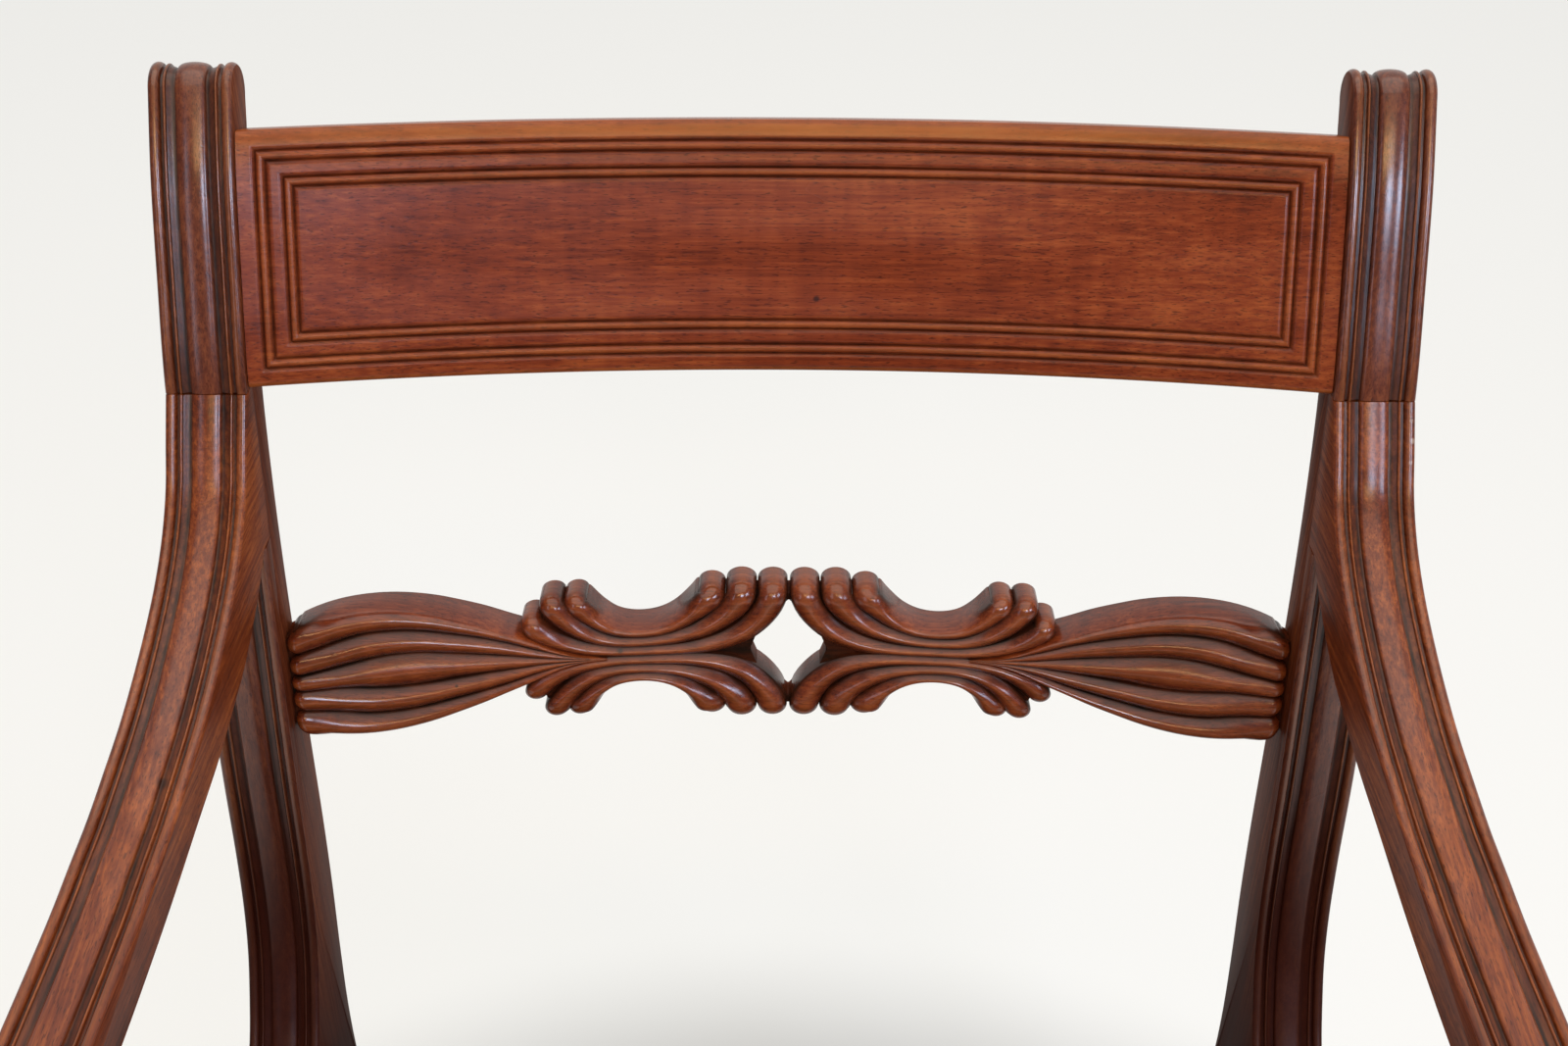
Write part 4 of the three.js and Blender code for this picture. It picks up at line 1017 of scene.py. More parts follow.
@dataclass
class Arms(MouldedPiece):
    """The swept arms with rolled ends, let into the stiles."""

    look = "swept_arm"
    node = "arm"
    top: float = 658.5
    thickness: float = 22.0
    reach: float = 385.0
    roll_radius: float = 25.0
    top_shares: tuple[Pair, ...] = (
        (0.1135, 0.82), (0.1338, 0.669), (0.1644, 0.528), (0.2026, 0.412), (0.2462, 0.319), (0.293, 0.24),
        (0.3413, 0.175), (0.3922, 0.128), (0.4423, 0.086), (0.4935, 0.06), (0.5429, 0.034),
        (0.5922, 0.019), (0.675, 0),
    )
    under_shares: tuple[Pair, ...] = (
        (0.5935, 0.0505), (0.4956, 0.127), (0.3922, 0.242), (0.3195, 0.323), (0.2597, 0.438),
        (0.2286, 0.495), (0.1857, 0.636), (0.1442, 0.818),
    )
    flat_share: float = 0.7

    def centre(self, forward: float) -> float:
        """How far the piece's middle lies from the chair's middle."""
        return self.layout.arm_centre(forward)

    def runs(self) -> list[Run]:
        """The side outline's stretches, in order round it."""
        lay = self.layout
        low = self.top - self.thickness
        drop, rise = lay.seam_up - self.top, lay.notch_up - low
        seam, notch = lay.seam_up - FIT, lay.notch_up + FIT
        roll = (self.reach - self.roll_radius, self.top - self.roll_radius)
        meet = 180 - math.degrees(math.asin((roll[1] - low) / self.roll_radius))
        sweep = [(lay.front_at(seam), seam)]
        sweep += [(f * self.reach, self.top + u * drop) for f, u in self.top_shares]
        level = np.linspace(sweep[-1][0], roll[0], 24)[1:-1]
        under = [(self.flat_share * self.reach, low)]
        under += [(f * self.reach, low + u * rise) for f, u in self.under_shares]
        under.append((lay.front_at(notch) + FIT, notch))
        top = [
            smooth(sweep, 60),
            np.column_stack([level, np.full(len(level), self.top)]),
            arc(roll, self.roll_radius, 90, -meet, 44),
        ]
        ends = ((lay.front_at(lay.notch_up), notch), (lay.front_at(lay.seam_up), seam))
        let_in = [(f - lay.housing + FIT, u) for f, u in ends]
        return [Run(np.vstack(top), moulded=True), Run(smooth(under, 40)), Run(np.array(let_in))]


@dataclass
class ArmSupports(MouldedPiece):
    """The curved supports between side rails and arms."""

    look = "curved_support"
    node = "arm_support"
    moulding = Moulding(depth=1.4)
    rounding = 0.6
    arms: Arms
    setback: float = 69.0
    bend: float = 24.0
    depth: float = 32.0
    line_shares: tuple[Pair, ...] = (
        (0, 0), (-0.55, 0.16), (-0.95, 0.38), (-1, 0.58), (-0.62, 0.8), (0, 1),
    )
    depth_shares: tuple[float, ...] = (1, 0.86, 0.78, 0.76, 0.82, 0.94)

    def width(self, up: float) -> float:
        """The piece's width at a height."""
        return self.layout.stile_width - 2 * FIT

    def face(self, way: int) -> list[Pair]:
        """The front or back line of the support, as its way is 1 or -1."""
        low, high = self.layout.seat_rail_top + FIT, self.arms.top - self.arms.thickness - FIT
        middle = self.arms.reach - self.setback
        return [
            (middle + b * self.bend + way * self.depth * d / 2, low + r * (high - low))
            for (b, r), d in zip(self.line_shares, self.depth_shares)
        ]

    def runs(self) -> list[Run]:
        """The side outline's stretches, in order round it."""
        front, back = smooth(self.face(1), 48), smooth(self.face(-1)[::-1], 40)
        return [Run(front, moulded=True, level=(True, True)), Run(back)]


@dataclass
class FrontLegs(MouldedPiece):
    """The sabre front legs."""

    look = "sabre_front_leg"
    node = "front_leg"
    reach: float = 39.0
    face_shares: tuple[Pair, ...] = (
        (-0.12, 1), (0, 0.985), (0.03, 0.94), (-0.02, 0.86), (-0.13, 0.75), (-0.23, 0.63), (-0.18, 0.49),
        (0.03, 0.34), (0.36, 0.19), (0.72, 0.08), (1, 0),
    )
    back_shares: tuple[Pair, ...] = (
        (0.3, 0), (0.02, 0.08), (-0.36, 0.19), (-0.72, 0.34), (-0.95, 0.49), (-1.02, 0.63), (-0.96, 0.75),
        (-0.88, 0.84),
    )

    def width(self, up: float) -> float:
        """The piece's width at a height."""
        return self.layout.tapered(up)

    def runs(self) -> list[Run]:
        """The side outline's stretches, in order round it."""
        lay = self.layout
        back = lay.front_rail_face - lay.front_leg_block
        face, rear = (
            [(lay.front_rail_face + f * self.reach, u * lay.seat_rail_top) for f, u in shares]
            for shares in (self.face_shares, self.back_shares)
        )
        front = np.vstack([[(back, lay.seat_rail_top)], smooth(face, 60)])
        return [
            Run(front, moulded=True, level=(False, True)),
            Run(smooth(rear, 40)),
            Run(np.array([(back, lay.rail_bottom)])),
        ]


@dataclass
class SideRails(MouldedPiece):
    """The moulded side rails of the seat."""

    look = "moulded_side_rail"
    node = "side_rail"
    steps: int = 20

    def runs(self) -> list[Run]:
        """The side outline's stretches, in order round it."""
        lay = self.layout
        start, stop = lay.foot_reach + FIT, lay.front_rail_face - lay.front_leg_block - FIT
        along = np.linspace(start, stop, self.steps)
        top = np.column_stack([along, np.full(self.steps, lay.seat_rail_top)])
        under = np.column_stack([along[::-1], np.full(self.steps, lay.rail_bottom)])
        return [Run(top, moulded=True), Run(under)]


@dataclass
class CrossRails:
    """The plain front and back rails of the seat."""

    layout: Layout
    front_thickness: float = 24.0
    back_thickness: float = 22.0
    back_setback: float = 55.0
    back_drop: float = 18.0
    rounding: float = 1.4

    def build(self, material: bpy.types.Material) -> None:
        """Builds and dresses both rails."""
        lay = self.layout
        half = lay.stile_width / 2 + FIT
        front = lay.front_rail_face
        back = lay.foot_reach - self.back_setback
        for name, rear, face, top in (
            ("front_rail", front - self.front_thickness, front, lay.seat_rail_top),
            ("back_rail", back, back + self.back_thickness, lay.seat_rail_top - self.back_drop),
        ):
            deselect()
            bpy.ops.mesh.primitive_cube_add(size=1.0)
            piece = bpy.context.object
            piece.name = f"plain_{name}"
            for corner in piece.data.vertices:
                forward = face if corner.co.y < 0 else rear
                across = math.copysign(lay.rail_centre(forward) - half, corner.co.x)
                up = top if corner.co.z > 0 else lay.rail_bottom
                corner.co = Vector(lay.place(across, forward, up)) * MM
            eased(piece, self.rounding, 3)
            dressed(piece, material, FRAME_BODY, "mahogany", name)


@dataclass
class CrestRail:
    """The bowed tablet with two nested, mitred bead frames round a flat field."""

    layout: Layout
    rise: float = 87.0
    lift: float = 0.7
    thickness: float = 19.0
    setback: float = 3.0
    bow: float = 22.6
    dip_degrees: float = 11.0
    edge_round: float = 2.2
    outer_inset: float = 9.0
    end_inset: float = 8.2
    step: float = 9.4
    outer_half: float = 1.6
    inner_half: float = 1.5
    outer_rise: float = 0.5
    inner_rise: float = 0.35
    groove: float = 1.2
    groove_width: float = 1.8
    wax_reach: float = 4.0
    bead_reach: float = 3.6
    # A painted golden sheen along the face's top band stands for light from above: its strength, how far
    # above the outer bead's middle it ends and over how far it fades.
    edge_worn: float = 0.75
    sheen_band_inset: float = 2.4
    sheen_band_fade: float = 1.5

    def relief(self, inside: float) -> Point:
        """Height, wax and wear at a distance inside the rail's edges."""
        height, wax, worn = 0.0, 0.0, 0.0
        for middle, half, rise in (
            (self.outer_inset, self.outer_half, self.outer_rise),
            (self.outer_inset + self.step, self.inner_half, self.inner_rise),
        ):
            off = abs(inside - middle)
            if off < half:
                height = -self.groove + (self.groove + rise) * math.sqrt(1 - (off / half) ** 2)
                wax = max(wax, (off / half) ** 4 * 0.9)
                worn = max(worn, 0.25 * math.exp(-((off / (half * 0.5)) ** 2)))
            elif off < half + self.groove_width:
                share = (off - half) / self.groove_width
                height = -self.groove * (1 - share) ** 2
                wax = max(wax, 1.0 - share**0.6)
            elif off < half + self.wax_reach:
                past = (off - half - self.groove_width) / (self.wax_reach - self.groove_width)
                wax = max(wax, 0.1 * (1 - past))
        return height, wax, worn

    def stations(self, length: float, inset: float, coarse: float) -> np.ndarray:
        """Places along a run of the given length, close together where the beads cross it."""
        first = inset - self.bead_reach
        last = inset + self.step + self.bead_reach
        near_end = np.concatenate([[0.0], np.arange(max(0.4, first), last, 0.3)])
        middle = np.linspace(last, length - last, max(2, int((length - 2 * last) / coarse)))
        return np.unique(np.round(np.concatenate([near_end, middle, length - near_end]), 4))

    def build(self, material: bpy.types.Material) -> None:
        """Builds and dresses the rail."""
        lay = self.layout
        half = lay.rail_half
        top = lay.crest_top + self.lift
        low = top - self.rise
        lean = math.atan2(lay.front_at(low) - lay.front_at(top), self.rise)
        length = self.rise / math.cos(lean)
        dip = math.radians(self.dip_degrees)
        edge = self.edge_round
        xs = self.stations(2 * half, self.end_inset, 4.0) - half
        downs = self.stations(length - 2 * edge, self.outer_inset - edge, 6.0) + edge
        shift = self.outer_inset - self.end_inset
        rounds = [(edge * (1 - math.sin(a)), edge * (math.cos(a) - 1)) for a in np.radians((30, 60, 90))]
        back = -self.thickness
        behind = [
            *[(length - inset, out) for inset, out in rounds],
            (length, back + 1),
            (length - 1, back),
            *[(length * share, back) for share in (0.75, 0.5, 0.25)],
            (1, back),
            (0, back + 1),
            *reversed(rounds),
        ]
        rings, wax, worn = [], [], []
        for x in xs:
            bow = lay.bow_at(x, self.bow)

            def at(down: float, out: float) -> Point:
                """A point of the rail: down its face and in front of it."""
                up = top - down * math.cos(lean)
                forward = lay.front_at(up) - self.setback + out * math.cos(lean) - bow * math.cos(dip)
                return lay.place(x, forward, up + out * math.sin(lean) - bow * math.sin(dip))

            ring, dark, rubbed = [], [], []
            for down in downs:
                height, waxed, bead = self.relief(min(down, length - down, half - abs(x) + shift))
                ring.append(at(down, height))
                dark.append(waxed)
                # Painted golden sheen on the face's top band, strongest in the middle, carried by the wear
                # mark.
                sheen_band = clamped((self.outer_inset - self.sheen_band_inset - down) / self.sheen_band_fade)
                rubbed.append(max(bead, self.edge_worn * sheen_band * (1 - 0.6 * (x / half) ** 2)))
            rings.append(ring + [at(down, out) for down, out in behind])
            wax.append(dark + [0.0] * len(behind))
            worn.append(rubbed + [0.3] * len(behind))
        piece = skin("beaded_crest_rail", np.array(rings), {"wax": np.array(wax), "worn": np.array(worn)})
        dressed(piece, material, FRAME_BODY, "mahogany", "crest_rail")


@dataclass
class MidRail:
    """The carved, pierced and bowed mid rail: two bundles of reeds between two five-lobed fans.

    Places on it are (along, up) from the middle of its face, before its lean and bow. The points of a reed
    have its half width as well.
    """

    layout: Layout
    drop: float = 218.0
    thickness: float = 17.0
    setback: float = 6.0
    bow: float = 23.0
    lean_degrees: float = 7.2
    reeds: tuple[tuple[tuple[float, float, float], ...], ...] = (
        (
            (6.25, 32.4, 6.1), (6.5, 27, 6.1), (7.6, 22.5, 6.0), (11, 16.5, 5.5), (17.5, 10, 4.9),
            (27, 5.3, 4.0), (40, 2.7, 2.9), (58, 2.1, 2.25), (72, 2.4, 2.35), (84, 4.2, 3.1),
            (93, 7.4, 3.9), (100, 11.8, 4.4), (103.6, 15.6, 4.6), (105.2, 20.2, 4.6),
        ),
        (
            (18.8, 32.6, 6.2), (19.3, 27, 6.2), (20.9, 23, 6.0), (24.6, 18.5, 5.4), (30, 14.1, 4.7),
            (37, 10.5, 3.7), (45, 8, 2.9), (53, 6.7, 2.3), (62, 6.3, 2.2), (71, 6.9, 2.5), (80, 9.6, 3.4),
            (88, 14.9, 4.3), (93.2, 21, 4.8), (96, 25.0, 4.9), (97.2, 28.8, 4.9),
        ),
        (
            (30.4, 31, 5.6), (31.2, 27, 5.6), (33.6, 24, 5.3), (38.6, 19.3, 4.4), (45.2, 14.4, 3.5),
            (53, 11.5, 2.7), (62.5, 10.8, 2.4), (71, 12.4, 2.9), (78, 16.7, 3.7), (83.5, 22.2, 4.3),
            (86.2, 25.2, 4.7), (87.2, 28.8, 4.7),
        ),
    )
    fan_edge: tuple[Pair, ...] = (
        (74, 0.35), (84, 1.5), (93, 4.6), (98, 7.2), (104.6, 11.0), (114, 15), (124, 19.5), (134, 23.2),
        (143, 26.2), (153, 28.5), (162, 29.7), (172, 29.9), (181, 29), (190, 26.8), (199.4, 23),
    )
    fan_outer: tuple[Pair, ...] = (
        (74, 0.22), (84, 0.95), (93, 2.7), (98, 4.2), (104.6, 6.2), (114, 9.6), (125.7, 12.9), (137, 15.5),
        (148.5, 17.9), (160, 19), (171, 18.6), (179, 16.9), (187, 14.8), (199.4, 12.3),
    )
    fan_inner: tuple[Pair, ...] = (
        (74, 0.1), (84, 0.4), (93, 0.95), (99, 1.3), (107, 2.4), (122, 4.3), (138, 6.3), (149, 7.5),
        (161, 7.6), (169, 6.8), (180, 5), (188, 4.2), (199.4, 3.2),
    )
    back_shares: tuple[Pair, ...] = (
        (0.0, 0.9), (0.17, 0.9), (0.182, 0.85), (0.205, 0.66), (0.24, 0.5), (0.275, 0.435), (0.312, 0.42),
        (0.348, 0.46), (0.38, 0.56), (0.405, 0.7), (0.418, 0.8), (0.45, 0.8), (0.5, 0.72), (0.51, 0.5),
        (0.536, 0.41), (0.57, 0.51), (0.62, 0.66), (0.68, 0.82), (0.74, 0.93), (0.81, 0.985),
        (0.87, 0.965), (0.93, 0.88), (0.975, 0.76), (1.0, 0.66),
    )
    height: float = 61.0
    tip_fall: float = 8.5
    tip_end_share: float = 0.85
    fan_bend: float = 5.0
    fan_hollow: float = 0.45
    groove: float = 4.8
    side_fall: float = 12.5
    hollow_run: float = 14.0
    turn_run: float = 11.0
    sunk: float = 5.8
    rim: float = 0.9
    overlap: float = 0.6
    fan_start: float = 107.0
    fan_clear: float = 2.0
    back_clear: float = 1.4
    least: float = 0.4
    back_round: float = 0.6
    fall_share: float = 0.8
    wax_full: float = 1.2
    wax_curve: Pair = (3.5, 1.2)
    wide_wax_less: float = 0.85
    ridge_worn: float = 0.2
    piercing: tuple[Pair, ...] = ((0, 22.4), (1.6, 20.8), (3.2, 17.7), (7.9, 11.5), (12.7, 7.1), (15.4, 0))

    def at(self, along: float, up: float, out: float) -> Point:
        """A point of the row frame from a place on the rail and in front of its face."""
        lay = self.layout
        axis = lay.crest_top - self.drop
        lean = math.radians(self.lean_degrees)
        forward = lay.front_at(axis) - self.setback - up * math.sin(lean) + out * math.cos(lean)
        behind = lay.bow_at(along, self.bow)
        return lay.place(along, forward - behind, axis + up * math.cos(lean) + out * math.sin(lean))

    def strip(
        self,
        name: str,
        lower: np.ndarray,
        upper: np.ndarray,
        bends: Pair,
        deep: float,
        falls: Pair,
        hollow: float = 0.7,
    ) -> bpy.types.Object:
        """Carves one rounded reed or lobe between two lines, with ends that bend over to the rail's back.

        Args:
            name: The piece's name.
            lower: The line along one edge.
            upper: The line along the other edge, with as many points.
            bends: The radius of the bend at the start and at the end, zero for a plain end.
            deep: How far its back lies behind the rail's face.
            falls: How far it rounds over towards its lower and its upper line.
            hollow: How far its flanks are hollowed between the bends, from 0 to 1.

        Returns:
            The piece.
        """
        middle, half = (lower + upper) / 2, (upper - lower) / 2
        along = lengths(middle)
        total = along[-1]
        ways = np.array([middle[0] - middle[3], middle[-1] - middle[-4]])
        ways /= np.linalg.norm(ways, axis=1)[:, None]
        turns = np.sin(np.linspace(-math.pi / 2, math.pi / 2, 19))
        swing = np.linspace(0, math.pi / 2, 9)
        stations = [(s, 0.0, 0.0, 0) for s in np.linspace(bends[0], total - bends[1], 44)]
        if bends[0]:
            stations = [(bends[0] * (1 - math.sin(a)), a, bends[0], -1) for a in swing[:0:-1]] + stations
        if bends[1]:
            stations += [(total - bends[1] * (1 - math.sin(a)), a, bends[1], 1) for a in swing[1:]]
        rings, wax, worn = [], [], []

        def ring_at(s: float, angle: float, radius: float, way: int, sunk: float = 0.0) -> None:
            """Adds the ring at a place along the strip, turned over by the bend's angle."""
            x, y = (np.interp(s, along, middle[:, k]) for k in (0, 1))
            hx, hy = (np.interp(s, along, half[:, k]) for k in (0, 1))
            reach = math.hypot(hx, hy)
            out_x, out_y = ways[int(way > 0)] if way else (0.0, 0.0)
            base = radius * (1 - math.cos(angle)) + sunk
            far = min(s - bends[0], total - bends[1] - s) if way == 0 else 0.0
            share = hollow * clamped(far / self.hollow_run)
            turn_in = clamped(far / self.turn_run) ** 2
            shallow = min(self.groove, self.fall_share * reach)

            def point(t: float, slip: float, out: float) -> Point:
                """A point across the strip, slipped outwards at a bend and in front of the rail's face."""
                return self.at(x + hx * t - out_x * slip, y + hy * t - out_y * slip, out)

            steep, less = self.wax_curve
            ring, dark, rubbed = [], [], []
            for t in turns:
                fall, wide = shallow, falls[int(t > 0)] > self.groove
                if wide:
                    fall += (falls[int(t > 0)] - fall) * turn_in
                bell, wave = fallen(t), (1 - math.cos(math.pi * t)) / 2
                drop = fall * (bell + (wave - bell) * share * (1 - turn_in if wide else 1))
                depth = min(base + drop * math.cos(angle), deep - self.least)
                ring.append(point(t, drop * math.sin(angle), -depth))
                deepest = min(1.0, self.wax_full * abs(t) ** (steep - less * share))
                dark.append(deepest * (1 - self.wide_wax_less * turn_in) if wide else deepest)
                rubbed.append(self.ridge_worn * max(0.0, 1 - (t / 0.5) ** 2))
            slip, edge = shallow * math.sin(angle), self.back_round
            corners = ((1, edge), (1, 0.0), (-1, 0.0), (-1, edge))
            ring += [point(t, slip, back - deep) for t, back in corners]
            rings.append(ring)
            wax.append(dark + [0.3] * 4)
            worn.append(rubbed + [0.0] * 4)

        if bends[0]:
            for sunk in (deep - bends[0] - 0.5, (deep - bends[0]) / 2):
                ring_at(0.0, math.pi / 2, bends[0], -1, sunk)
        for station in stations:
            ring_at(*station)
        if bends[1]:
            for sunk in ((deep - bends[1]) / 2, deep - bends[1] - 0.5):
                ring_at(total, math.pi / 2, bends[1], 1, sunk)
        marks = {"wax": np.array(wax), "worn": np.array(worn)}
        return skin(name, np.array(rings), marks, smooth_degrees=50)

    def reed_lines(self, reed: Sequence[Point], flip: Pair) -> tuple[np.ndarray, np.ndarray]:
        """The two edges of a reed in one quarter of the rail."""
        line = smooth(reed, 56)
        along = np.gradient(line[:, :2], axis=0)
        along /= np.linalg.norm(along, axis=1)[:, None]
        out = np.column_stack([-along[:, 1], along[:, 0]]) * line[:, 2:3]
        return (line[:, :2] - out) * flip, (line[:, :2] + out) * flip

    def build(self, material: bpy.types.Material) -> None:
        """Carves the rail and joins its pieces into one."""
        deep, plain, wide = self.thickness, (self.groove, self.groove), (self.groove, self.side_fall)
        bends, fan_bends = (self.tip_fall, self.tip_fall * self.tip_end_share), (0, self.fan_bend)
        fans = [smooth(line, 52) for line in (self.fan_inner, self.fan_outer, self.fan_edge)]
        parts = []
        for sx in (1, -1):
            for sy in (1, -1):
                for k, (reed, falls) in enumerate(zip(self.reeds, (plain, plain, wide))):
                    name, edges = f"reed_{sx}_{sy}_{k}", self.reed_lines(reed, (sx, sy))
                    parts.append(self.strip(name, *edges, bends, deep - 0.05 * k, falls))
                along = np.linspace(self.fan_edge[0][0], self.fan_edge[-1][0], 60)
                ups = [np.interp(along, fan[:, 0], fan[:, 1]) for fan in fans]
                drawn = [np.column_stack([along, up]) * (sx, sy) for up in ups]
                for k, falls in enumerate((plain, wide)):
                    name = f"lobe_{sx}_{sy}_{k}"
                    lobe = (name, drawn[k], drawn[k + 1], fan_bends, deep - 0.2, falls, self.fan_hollow)
                    parts.append(self.strip(*lobe))
            inner = fans[0]
            along = np.linspace(inner[0, 0], inner[-1, 0], 60)
            edge = np.interp(along, inner[:, 0], inner[:, 1])
            low, high = (np.column_stack([along, up]) * (sx, 1) for up in (-edge, edge))
            lobe = (f"lobe_{sx}_middle", low, high, fan_bends, deep - 0.25, plain, self.fan_hollow)
            parts.append(self.strip(*lobe))
        parts += self.ground()
        deselect()
        for part in parts:
            part.select_set(True)
        bpy.context.view_layer.objects.active = parts[0]
        bpy.ops.object.join()
        piece = bpy.context.object
        piece.name = "carved_mid_rail"
        piece.data.name = piece.name
        dressed(piece, material, FRAME_BODY, "mahogany", "mid_rail")

    def ground(self) -> list[bpy.types.Object]:
        """The sunk wood behind the carving, dark with wax, open at the piercing."""
        half = self.layout.rail_half
        share = np.array(self.back_shares)
        tops = np.column_stack([share[:, 0] * half, share[:, 1] * self.height / 2 - self.back_clear])
        edge = np.array(self.fan_edge)
        fan = tops[:, 0] > self.fan_start
        tops[fan, 1] = np.interp(tops[fan, 0], edge[:, 0], edge[:, 1]) - self.fan_clear
        hole = np.array(self.piercing)
        face, back = -self.sunk, self.least - self.thickness
        parts = []

        def slab(name: str, along: np.ndarray, low: np.ndarray, high: np.ndarray) -> bpy.types.Object:
            """A flat slab behind the face between two heights."""
            rings = [
                [self.at(x, a, face), self.at(x, b, face), self.at(x, b, back), self.at(x, a, back)]
                for x, a, b in zip(along, low, high)
            ]
            wax = np.tile((1.0, 1.0, 0.35, 0.35), (len(rings), 1))
            return skin(name, np.array(rings), {"wax": wax, "dull": np.ones_like(wax)})

        for sx in (1, -1):
            along = np.linspace(hole[-1][0] + self.overlap, half, 140)
            top = np.interp(along, tops[:, 0], tops[:, 1])
            parts.append(slab(f"ground_{sx}", along * sx, -top, top))
        for sy in (1, -1):
            along = np.linspace(-hole[-1][0] - self.overlap, hole[-1][0] + self.overlap, 60)
            top = np.interp(np.abs(along), tops[:, 0], tops[:, 1])
            rim = np.interp(np.abs(along), hole[:, 0], hole[:, 1]) + self.rim
            parts.append(slab(f"ground_middle_{sy}", along, rim * sy, top * sy))
        return parts


@dataclass
class DropInSeat:
    """The loose seat: beech frame, interlaced webbing, hessian and stuffed leather."""

    layout: Layout
    rails: CrossRails
    play: float = 1.5
    ledger_drop: float = 26.0
    frame_thickness: float = 21.0
    cover: float = 1.5
    turn_under: float = 12.0
    webbing: Pair = (50.0, 1.4)
    wave: float = 0.9
    hessian: float = 0.8
    pad_edge: float = 3.0
    crown: float = 24.0
    corner: float = 10.0
    long_pitch: float = 95.0
    cross_pitch: float = 72.5
    member: float = 46.0
    voxel: float = 5.0
    pressure: float = 4.0
    slack: float = 0.02
    cap: float = 9.0
    fill: float = 0.85
    corner_steps: int = 9
    edge_steps: int = 60
    fold_pull: float = 0.72
    fold_reach: float = 46.0
    fold_turns: float = 16.0
    fold_height: float = 1.3
    uneven: tuple[Point, ...] = ((7.0, 0.6, 0.2), (13.0, 2.1, 0.13))
    dips: Point = (0.018, 0.021, 0.7)
    drawn_low: float = 0.85
    frames: int = 20
    rest_from: float = 0.9
    rest_over: float = 0.08
    lap_share: float = 0.62
    stripe: Pair = (15.0, 19.5)

    @property
    def rear(self) -> float:
        """Forward of the seat's rear edge."""
        rails = self.rails
        return self.layout.foot_reach - rails.back_setback + rails.back_thickness + self.play

    @property
    def front(self) -> float:
        """Forward of the seat's front edge."""
        return self.layout.front_rail_face - self.rails.front_thickness - self.play

    @property
    def middle(self) -> float:
        """Forward of the seat's middle."""
        return (self.rear + self.front) / 2

    @property
    def low(self) -> float:
        """Height of the seat's underside."""
        return self.layout.seat_rail_top - self.ledger_drop + FIT

    @property
    def frame_top(self) -> float:
        """Height of the beech frame's top."""
        return self.low + self.cover + FIT + self.frame_thickness

    @property
    def webbing_middle(self) -> float:
        """Height of the webbing's middle."""
        return self.frame_top + FIT + self.wave + self.webbing[1] / 2

    @property
    def pad_top(self) -> float:
        """Height of the pad's rim."""
        return self.hessian_low + self.hessian + FIT + self.pad_edge

    @property
    def hessian_low(self) -> float:
        """Height of the hessian's underside."""
        return self.webbing_middle + self.wave + self.webbing[1] / 2 + FIT

    def half_at(self, forward: float, inset: float) -> float:
        """Half the seat's width at a place from back to front."""
        lay = self.layout
        slope = math.tan(math.radians(lay.seat_splay_degrees))
        inside = lay.stile_centre - lay.stile_width / 2
        return inside + (forward - lay.foot_reach) * slope - self.play - inset

    def plan(self, inset: float) -> np.ndarray:
        """The seat's outline from above, drawn in by an inset, as (across, forward)."""
        radius = max(FIT, self.corner - inset)
        rear, front = self.rear + inset + radius, self.front - inset - radius
        slim, wide = (self.half_at(forward, inset) - radius for forward in (rear, front))
        turns = ((wide, front), (-wide, front), (-slim, rear), (slim, rear))
        bends = [arc(turn, radius, 90 * i, 90 * i + 90, self.corner_steps) for i, turn in enumerate(turns)]
        line = []
        for i, bend in enumerate(bends):
            step = (bends[(i + 1) % 4][0] - bend[-1]) / self.edge_steps
            line.extend(bend)
            line.extend(bend[-1] + step * k for k in range(1, self.edge_steps))
        return np.array(line)

    def crown_at(self, plan: np.ndarray, share: float) -> np.ndarray:
        """Height of the stuffing over its rim, with soft folds that run into the corners."""
        middle = self.middle
        angle = np.arctan2(plan[:, 1] - middle, plan[:, 0])
        side = len(plan) // 4
        folds = np.zeros(len(plan))
        for corner in plan[self.corner_steps // 2 :: side]:
            away = np.linalg.norm(plan - corner, axis=1)
            x, y = corner * self.fold_pull + (0.0, middle * (1 - self.fold_pull))
            fan = np.arctan2(plan[:, 1] - y, plan[:, 0] - x)
            folds += near(away, 0.0, self.fold_reach) * np.sin(fan * self.fold_turns)
        uneven = sum(np.sin(angle * waves + start) * height for waves, start, height in self.uneven)
        wide, long, deep = self.dips
        dips = np.sin(plan[:, 0] * share * wide + 0.7) * np.sin(plan[:, 1] * share * long) * deep
        folds *= share**6 * (1 - share**14) * self.fold_height
        return self.crown * (1 - share**2.6) + folds + uneven * share**3 + dips * (1 - share**4)

    def ring(self, plan: np.ndarray, share: float, ups: np.ndarray | float) -> list[Point]:
        """A ring of the seat: its outline drawn towards its middle, at one or more heights."""
        middle, level = self.middle, np.broadcast_to(ups, (len(plan),))
        return [
            self.layout.place(x * share, middle + (f - middle) * share, u) for (x, f), u in zip(plan, level)
        ]

